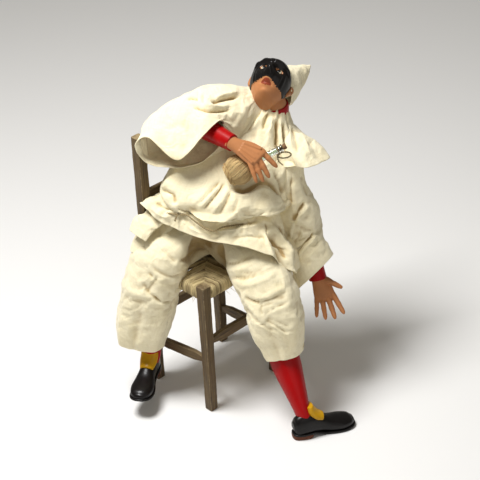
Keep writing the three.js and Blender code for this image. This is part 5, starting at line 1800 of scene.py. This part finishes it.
# Rows of share of the lean, share of the length, share of the height, half width and half depth
TONGUE = [
    (0.6, 0.29, 1.26, 8.4, 3.6), (0.4, 0.315, 1.04, 8.6, 4.8), (0.15, 0.38, 0.84, 8.2, 4.8),
    (0, 0.48, 0.71, 6.6, 3.8),
]
LIMB_SIDE = (1, 0.3, 0)
Leg = namedtuple("Leg", "heel toe ankle shin knee")
LEFT_LEG = Leg(
    (70.5, -110, 0.3), (127.5, -91, 0.3), (78.5, -100, 29), (67, -76, -77), (60, -66, -52)
)
RIGHT_LEG = Leg(
    (-60, -9.5, 19), (-75, -67, 20), (-60.5, -21, 45), (-65, -23, -66), (-65, -22, -45)
)


def from_floor(point):
    """A point written from the floor, in the figure's millimetres."""
    return np.array([point[0], point[1], point[2] + FLOOR_LEVEL])


def mirrored(half, count):
    """A closed outline from its right half, in steps of equal length."""
    left = [(-x, y) for x, y in half[-2:0:-1]]
    return even(np.array(half + left, float), count, closed=True)


def stacked(outline, centre, layers, spring=0.0):
    """A closed slab from an outline, with the height and size of each of its layers."""
    rings = []
    for lift, size in layers:
        flat = centre + (outline - centre) * size
        rings.append(np.column_stack([flat, lift + spring + np.zeros(len(flat))]))
    return capped(np.array(rings), 0.02, 0.02, 2)


def shoe_grids(lean):
    """Upper, sole, heel and tongue of a shoe, toe along +Y, from the middle of its heel.

    lean is how far the ankle stands beside the shoe's own middle.
    """
    angle = circle(48)
    shape = [(s * SHOE_LENGTH, w, l, t * SHOE_HEIGHT) for s, w, l, t in SHOE_SHAPE]
    over, under = np.abs(np.sin(angle)) ** 0.9, -(np.abs(np.sin(angle)) ** 0.4)
    lift = np.where(np.sin(angle) > 0, over, under)
    upper = []
    for y, wide, low, high in even(np.array(shape), 60):
        middle, half = (low + high) / 2, (high - low) / 2
        ring = [np.cos(angle) * wide, np.full(len(angle), y), middle + lift * half]
        upper.append(np.stack(ring, axis=1))
    upper = capped(np.array(upper), 0.8, 1.6, 4)
    outline = mirrored(SOLE_HALF, 72)
    spring = HEEL_LIFT * np.clip(1 - (outline[:, 1] - 18) / 12, 0, 1)
    spring = spring + 1.4 * np.clip((outline[:, 1] - 50) / 12, 0, 1)
    sole = stacked(outline, np.array([0, 30.0]), SOLE_LAYERS, spring)
    heel = stacked(mirrored(HEEL_HALF, 48), np.array([0, 9.0]), HEEL_LAYERS)
    tongue = [
        Station((aside * lean, along * SHOE_LENGTH, up * SHOE_HEIGHT), wide, deep, (1, 0, 0))
        for aside, along, up, wide, deep in TONGUE
    ]
    return upper, sole, heel, closed_loft(tongue, 36, 30, (0.6, 0.5))


def leg(name, node_name, form, colours):
    """A carved shin with its painted stocking, shoe and ochre tongue."""
    paints = [
        red_paint(colours),
        paint("Shoe Paint", colours.black, "2e221a", 0.36, 0.14, 0.15),
        paint("Worn Sole", colours.sole, "140e0a", 0.5, 0.1, 1.2),
        paint("Ochre Paint", colours.ochre, "6e4a08", 0.42, 0.1),
    ]
    heel, toe, ankle = (from_floor(p) for p in (form.heel, form.toe, form.ankle))
    shin, knee = (np.array(p, float) for p in (form.shin, form.knee))
    instep = heel + (toe - heel) * 0.22 + np.array([0, 0, 0.6 * SHOE_HEIGHT])
    limb = [
        Station(knee, 14.2, 14.2, LIMB_SIDE),
        Station(shin, 14.2, 14, LIMB_SIDE),
        Station(shin + (ankle - shin) * 0.55, 11, 11.5, LIMB_SIDE),
        Station(ankle, 8.2, 8.6, LIMB_SIDE),
        Station(instep, 7, 8, LIMB_SIDE),
    ]
    beside = unit(np.cross(toe - heel, (0, 0, 1)))
    carry = own_axes(heel, toe - heel, (0, 0, 1))
    shoe = [patch(carry(grid)) for grid in shoe_grids(float((ankle - heel) @ beside))]
    red, black, bare, ochre = range(len(paints))
    patches, zones = [patch(closed_loft(limb, 64, 60)), *shoe], [red, black, black, bare, ochre]
    taken(mesh_object(name, patches, paints, zones), node_name)


class SERVANT_OT_legs(bpy.types.Operator):
    """Carve the shins with their stockings and shoes"""

    bl_idname = "servant.legs"
    bl_label = "Legs"

    def execute(self, context):
        colours = context.scene.servant_paint
        leg("left_leg_carving", "left_leg", LEFT_LEG, colours)
        leg("right_leg_carving", "right_leg", RIGHT_LEG, colours)
        return {"FINISHED"}


# Belt: from one loose end, round the hips and through its own knot to the other
BELT_DIAMETER = 1.7
BELT_LAY = 4.4
BELT_POINTS = 620
BELT_ROUND = [
    (-17, -36, 67.5), (-9, -43.5, 64), (-1, -49.5, 60.5), (7, -51, 58), (16, -49, 60.5),
    (34, -42, 58), (55, -22, 48), (62, 4, 40), (46, 28, 38), (14, 34, 44), (-16, 26, 54),
    (-33, 10, 64), (-36, -8, 70), (-25, -29.5, 74.5),
]
BELT_FIRST_END = [(-36, -27.5, 66), (-27, -32, 66.5), (-20, -34.5, 67.5)]
BELT_LAST_END = [(-25, -32.5, 68.5), (-27, -34, 65.5), (-28.5, -38, 63)]


def laid(line, diameter, plies, lay, tone, closed=False, carry=None):
    """Patches of the strands of twine along a line, each a step paler than the one before."""
    grids = twisted(line, diameter, plies, lay, closed)
    return [patch(carry(g) if carry else g, tone + 0.25 * k) for k, g in enumerate(grids)]


class SERVANT_OT_belt(bpy.types.Operator):
    """Tie the twine belt"""

    bl_idname = "servant.belt"
    bl_label = "Twine Belt"

    def execute(self, context):
        colours = context.scene.servant_paint
        knots = np.array(BELT_FIRST_END + BELT_ROUND + BELT_LAST_END, float)
        line = even(knots, BELT_POINTS)
        patches = laid(line, BELT_DIAMETER, 2, BELT_LAY, 0.5)
        made = mesh_object("belt_twine", patches, [twine(colours)])
        taken(made, "belt_cord")
        return {"FINISHED"}


# Flask
BULB_DIAMETER = 25.0
FLASK_LENGTH = 57.0
NECK_DIAMETER = 6.4
LIP_DIAMETER = 7.6
GLASS_WALL = 1.1
POLE = 0.05
SHOULDER_FROM = 20
SHOULDER_SWELL = 3.2
SHOULDER_MIDDLE = 22
SHOULDER_REACH = 4.5
STRAW_THICKNESS = 1.5
STRAW_COVER = 24.0
STRAW_COUNT = 76
STRAW_SEED = 11
STRAW_BINDINGS = ((0.8, 8.2, 3), (2.8, 10.2, 3), (STRAW_COVER - 1.2, 9.6, 2))
CORK_LENGTH = 8.0
CORK_SEAT = 4.5
LOOP_DIAMETER = 10.0
LOOP_REACH = 6.0
LOOP_TWINE = 1.4
LOOP_WAY = np.array([0.77, 0.0, -0.64])
LOOP_TAIL = [(0, 0, 0), (2, -3, -1.5), (6, -4, -2), (11, -2, -2)]
CLEARANCE = 0.3
FLASK_BASE = (21.4, -31.2, 104)
FLASK_WAY = (38.5, 6, 16)
FLASK_FRONT = (0, -0.8, 0.6)


def bulb_radius(z):
    """Radius of the flask at a height over its base."""
    radius = BULB_DIAMETER / 2
    belly = math.sqrt(max(0.0, radius**2 - (z - radius) ** 2))
    if z <= SHOULDER_FROM:
        return belly
    rounding = SHOULDER_SWELL * math.exp(-(((z - SHOULDER_MIDDLE) / SHOULDER_REACH) ** 2))
    flare = (LIP_DIAMETER - NECK_DIAMETER) / 2 if z > FLASK_LENGTH - 2 else 0.0
    return max(belly, NECK_DIAMETER / 2 + rounding + flare)


def lathe(profile, around=48):
    """Rings of a turned shape, from (radius, height) pairs."""
    across, away = np.cos(circle(around)), np.sin(circle(around))
    rings = [(across * radius, np.full(around, z), away * radius) for radius, z in profile]
    return np.array(rings).transpose(0, 2, 1)


class SERVANT_OT_flask(bpy.types.Operator):
    """Blow the flask, cover its bulb with straw, stop it and tie its loop"""

    bl_idname = "servant.flask"
    bl_label = "Straw Flask"

    def execute(self, context):
        colours = context.scene.servant_paint
        self.carry = own_axes(FLASK_BASE, FLASK_WAY, FLASK_FRONT)
        self.glass()
        self.straw(colours)
        self.cork()
        self.loop(colours)
        return {"FINISHED"}

    def glass(self):
        """Clear glass with a true wall."""
        values = {"Roughness": 0.04, "Transmission Weight": 1.0, "IOR": 1.46}
        made, tree, shader = material("Flask Glass", values)
        seeds = cloudy(tree, solid_place(tree), 300.0)
        tone = mixed(tree, seeds, rgba(linear("e3efec")), rgba(linear("cfe0dc")))
        tree.links.new(tone, shader.inputs["Base Color"])
        bumped(tree, shader, seeds, 0.0002, 0.3)
        upper = np.linspace(24.6, FLASK_LENGTH - 2.1, 40)
        levels = np.concatenate([np.linspace(0.2, 24, 40), upper])
        outside = [(bulb_radius(z), z) for z in levels]
        lip = LIP_DIAMETER / 2
        top = FLASK_LENGTH
        outside += [(lip - 0.3, top - 2), (lip, top - 1.5), (lip, top - 0.4), (lip - 0.4, top)]
        bore = NECK_DIAMETER / 2 - GLASS_WALL
        inside = [(bore + 0.4, top), (bore, top - 0.6)]
        for z in levels[::-1]:
            if z > GLASS_WALL:
                least = bore if z > SHOULDER_FROM else POLE
                inside.append((max(bulb_radius(z) - GLASS_WALL, least), z))
        rings = self.carry(lathe([(POLE, 0)] + outside + inside + [(POLE, GLASS_WALL)]))
        taken(mesh_object("flask_glass_blown", [patch(rings)], [made]), "flask_glass")

    def straw(self, colours):
        """Straws from pole to shoulder, with a foot of two rings and a binding at the shoulder."""
        straw = made_once("Straw", fibre, colours.straw_light, colours.straw_dark, 2400.0)
        generator = np.random.default_rng(STRAW_SEED)
        patches = []
        cover = CLEARANCE + STRAW_THICKNESS / 2
        for k in range(STRAW_COUNT):
            turn = 2 * np.pi * (k + generator.uniform(-0.2, 0.2)) / STRAW_COUNT
            points = []
            for z in np.linspace(0.4, STRAW_COVER, 14):
                radius = bulb_radius(z) + cover + generator.normal(0, 0.1)
                lean = turn + 0.02 * (z - 12) + generator.normal(0, 0.012)
                points.append((math.cos(lean) * radius, z, math.sin(lean) * radius))
            path = even(np.array(points), 30)
            thick = np.interp(np.linspace(0, 1, 30), [0, 0.12, 0.5, 1], [0.35, 0.5, 0.58, 0.42])
            grid = sweep(path, thick, 7)
            patches.append(patch(self.carry(grid), generator.uniform(0.45, 1)))
        for z, radius, plies in STRAW_BINDINGS:
            ring = lathe([(radius, z)], 120)[0]
            patches += laid(ring, 2.2, plies, 6.0, 0.3, True, self.carry)
        taken(mesh_object("flask_straw_cover", patches, [straw]), "flask_straw")

    def cork(self):
        """Tapered stopper of cork bark."""
        made, tree, shader = material("Cork", {"Roughness": 0.85})
        inputs = {"Vector": solid_place(tree), "Scale": 1400.0}
        pores = node(tree, "ShaderNodeTexVoronoi", inputs).outputs["Distance"]
        tone = mixed(tree, pores, rgba(linear("4a3220")), rgba(linear("8a6840")))
        tree.links.new(tone, shader.inputs["Base Color"])
        bumped(tree, shader, pores, 0.0003, 0.7)
        bore = NECK_DIAMETER / 2 - GLASS_WALL - CLEARANCE
        low = FLASK_LENGTH - CORK_SEAT
        top = low + CORK_LENGTH
        profile = [(POLE, low), (bore * 0.8, low), (bore * 0.9, low + 0.3)]
        profile += [(bore, FLASK_LENGTH), (bore * 1.4, FLASK_LENGTH + 0.4)]
        profile += [(bore * 1.5, top - 0.4), (bore * 1.35, top), (POLE, top)]
        rings = self.carry(lathe(profile, 36))
        taken(mesh_object("flask_cork_bark", [patch(rings)], [made]), "flask_cork")

    def loop(self, colours):
        """Twine round the neck, the ring it hangs by, and a loose tail from one knot."""
        neck = NECK_DIAMETER / 2 + CLEARANCE + LOOP_TWINE / 2
        level = FLASK_LENGTH - 5
        knot = LOOP_WAY * neck + np.array([0, level, 0])
        neck_ring = lathe([(neck, level)], 90)[0] * (1, 1, -1)
        radius, turn = LOOP_DIAMETER / 2, circle(90)
        hanging = knot + np.outer(0.8 * radius * (1 - np.cos(turn)), LOOP_WAY)
        hanging[:, 1] += radius * np.sin(turn) + LOOP_REACH * (1 - np.cos(turn)) / 2
        tail = even(knot + np.array(LOOP_TAIL, float), 40)
        patches = []
        for line, closed in ((neck_ring, True), (hanging, True), (tail, False)):
            patches += laid(line, LOOP_TWINE, 2, 4.0, 0.5, closed, self.carry)
        made = mesh_object("flask_loop_twine", patches, [twine(colours)])
        taken(made, "flask_loop")


# Stage
KEY_PLACE = (-330, -130, 1020)
KEY_SIZE = 380
FILL_PLACE = (420, -950, 460)
FILL_SIZE = 900
FILL_SHARE = 0.09
LIGHT_AIM = (20, 0, 40)
ROOM_COLOUR = (1.0, 0.95, 0.85, 1.0)
FLOOR_REACH = 30.0
FLOOR_CORNERS = ((-1, -1), (1, -1), (1, 1), (-1, 1))
NEAR_CLIP = 0.05


class SERVANT_OT_stage(bpy.types.Operator):
    """Set the pale floor, the studio light and the photograph's camera"""

    bl_idname = "servant.stage"
    bl_label = "Stage"

    def execute(self, context):
        scene = context.scene
        scene.view_settings.view_transform = "Standard"
        self.camera(scene)
        lights = scene.servant_lights
        floor = self.floor(lights)
        self.light("Key", KEY_PLACE, KEY_SIZE, lights.key)
        self.light("Front Fill", FILL_PLACE, FILL_SIZE, lights.key * FILL_SHARE)
        world = bpy.data.worlds.new("Studio")
        world.use_nodes = True
        back = world.node_tree.nodes["Background"]
        back.inputs["Color"].default_value = ROOM_COLOUR
        back.inputs["Strength"].default_value = lights.fill
        scene.world = world
        return {"FINISHED"}

    def camera(self, scene):
        """The photograph's camera."""
        data = bpy.data.cameras.new("Photograph")
        data.lens = SENSOR_WIDTH * FOCAL_PIXELS / PICTURE_SIZE
        data.sensor_width = SENSOR_WIDTH
        data.sensor_fit = "HORIZONTAL"
        data.clip_start = NEAR_CLIP
        camera = bpy.data.objects.new("Photograph", data)
        turn = Matrix([RIGHT, UP, -FORWARD]).transposed().to_4x4()
        camera.matrix_world = Matrix.Translation(place(CAMERA_PLACE)) @ turn
        scene.collection.objects.link(camera)
        scene.camera = camera

    def floor(self, lights):
        """A large pale floor."""
        made, tree, shader = material("Pale Floor", {"Roughness": 0.8})
        near = [c * 0.985 for c in lights.floor]
        cloud = cloudy(tree, solid_place(tree), 3.0)
        tone = mixed(tree, cloud, rgba(lights.floor), rgba(near))
        tree.links.new(tone, shader.inputs["Base Color"])
        mesh = bpy.data.meshes.new("Floor")
        corners = [(x * FLOOR_REACH, y * FLOOR_REACH, 0) for x, y in FLOOR_CORNERS]
        mesh.from_pydata(corners, [], [(0, 1, 2, 3)])
        mesh.materials.append(made)
        floor = bpy.data.objects.new("Floor", mesh)
        bpy.context.scene.collection.objects.link(floor)
        return floor

    def light(self, name, where, size, power):
        """A soft square light that faces the figure."""
        data = bpy.data.lights.new(name, "AREA")
        data.size = size * MM
        data.energy = power
        light = bpy.data.objects.new(name, data)
        start = Vector(place(where))
        aim = Vector(place(LIGHT_AIM))
        light.location = start
        light.rotation_euler = (aim - start).to_track_quat("-Z", "Y").to_euler()
        bpy.context.scene.collection.objects.link(light)


class SERVANT_PT_panel(bpy.types.Panel):
    """Buttons for every part of the figure"""

    bl_label = "Commedia Servant"
    bl_idname = "SERVANT_PT_panel"
    bl_space_type = "VIEW_3D"
    bl_region_type = "UI"
    bl_category = "Servant"

    def draw(self, context):
        for operator in OPERATORS:
            self.layout.operator(operator.bl_idname)
        for name in SETTINGS:
            box = self.layout.box()
            settings = getattr(context.scene, name)
            for key in settings.__annotations__:
                box.prop(settings, key)


OPERATORS = (
    SERVANT_OT_stage,
    SERVANT_OT_belt,
    SERVANT_OT_chair,
    SERVANT_OT_seat,
    SERVANT_OT_smock,
    SERVANT_OT_trousers,
    SERVANT_OT_cap,
    SERVANT_OT_head,
    SERVANT_OT_arms,
    SERVANT_OT_legs,
    SERVANT_OT_flask,
)
SETTINGS = {
    "servant_cloth": ClothColours,
    "servant_chair": ChairColours,
    "servant_paint": PaintColours,
    "servant_lights": StageLights,
}


def register():
    """Register the settings, the operators and the panel."""
    for kind in (*SETTINGS.values(), *OPERATORS, SERVANT_PT_panel):
        bpy.utils.register_class(kind)
    for name, kind in SETTINGS.items():
        setattr(bpy.types.Scene, name, bpy.props.PointerProperty(type=kind))


def unregister():
    """Remove what register added."""
    for name in SETTINGS:
        delattr(bpy.types.Scene, name)
    for kind in (SERVANT_PT_panel, *reversed(OPERATORS), *reversed(SETTINGS.values())):
        bpy.utils.unregister_class(kind)


def main():
    """Build the whole figure."""
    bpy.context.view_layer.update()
    register()
    for operator in OPERATORS:
        space, name = operator.bl_idname.split(".")
        getattr(getattr(bpy.ops, space), name)()


if __name__ == "__main__":
    main()
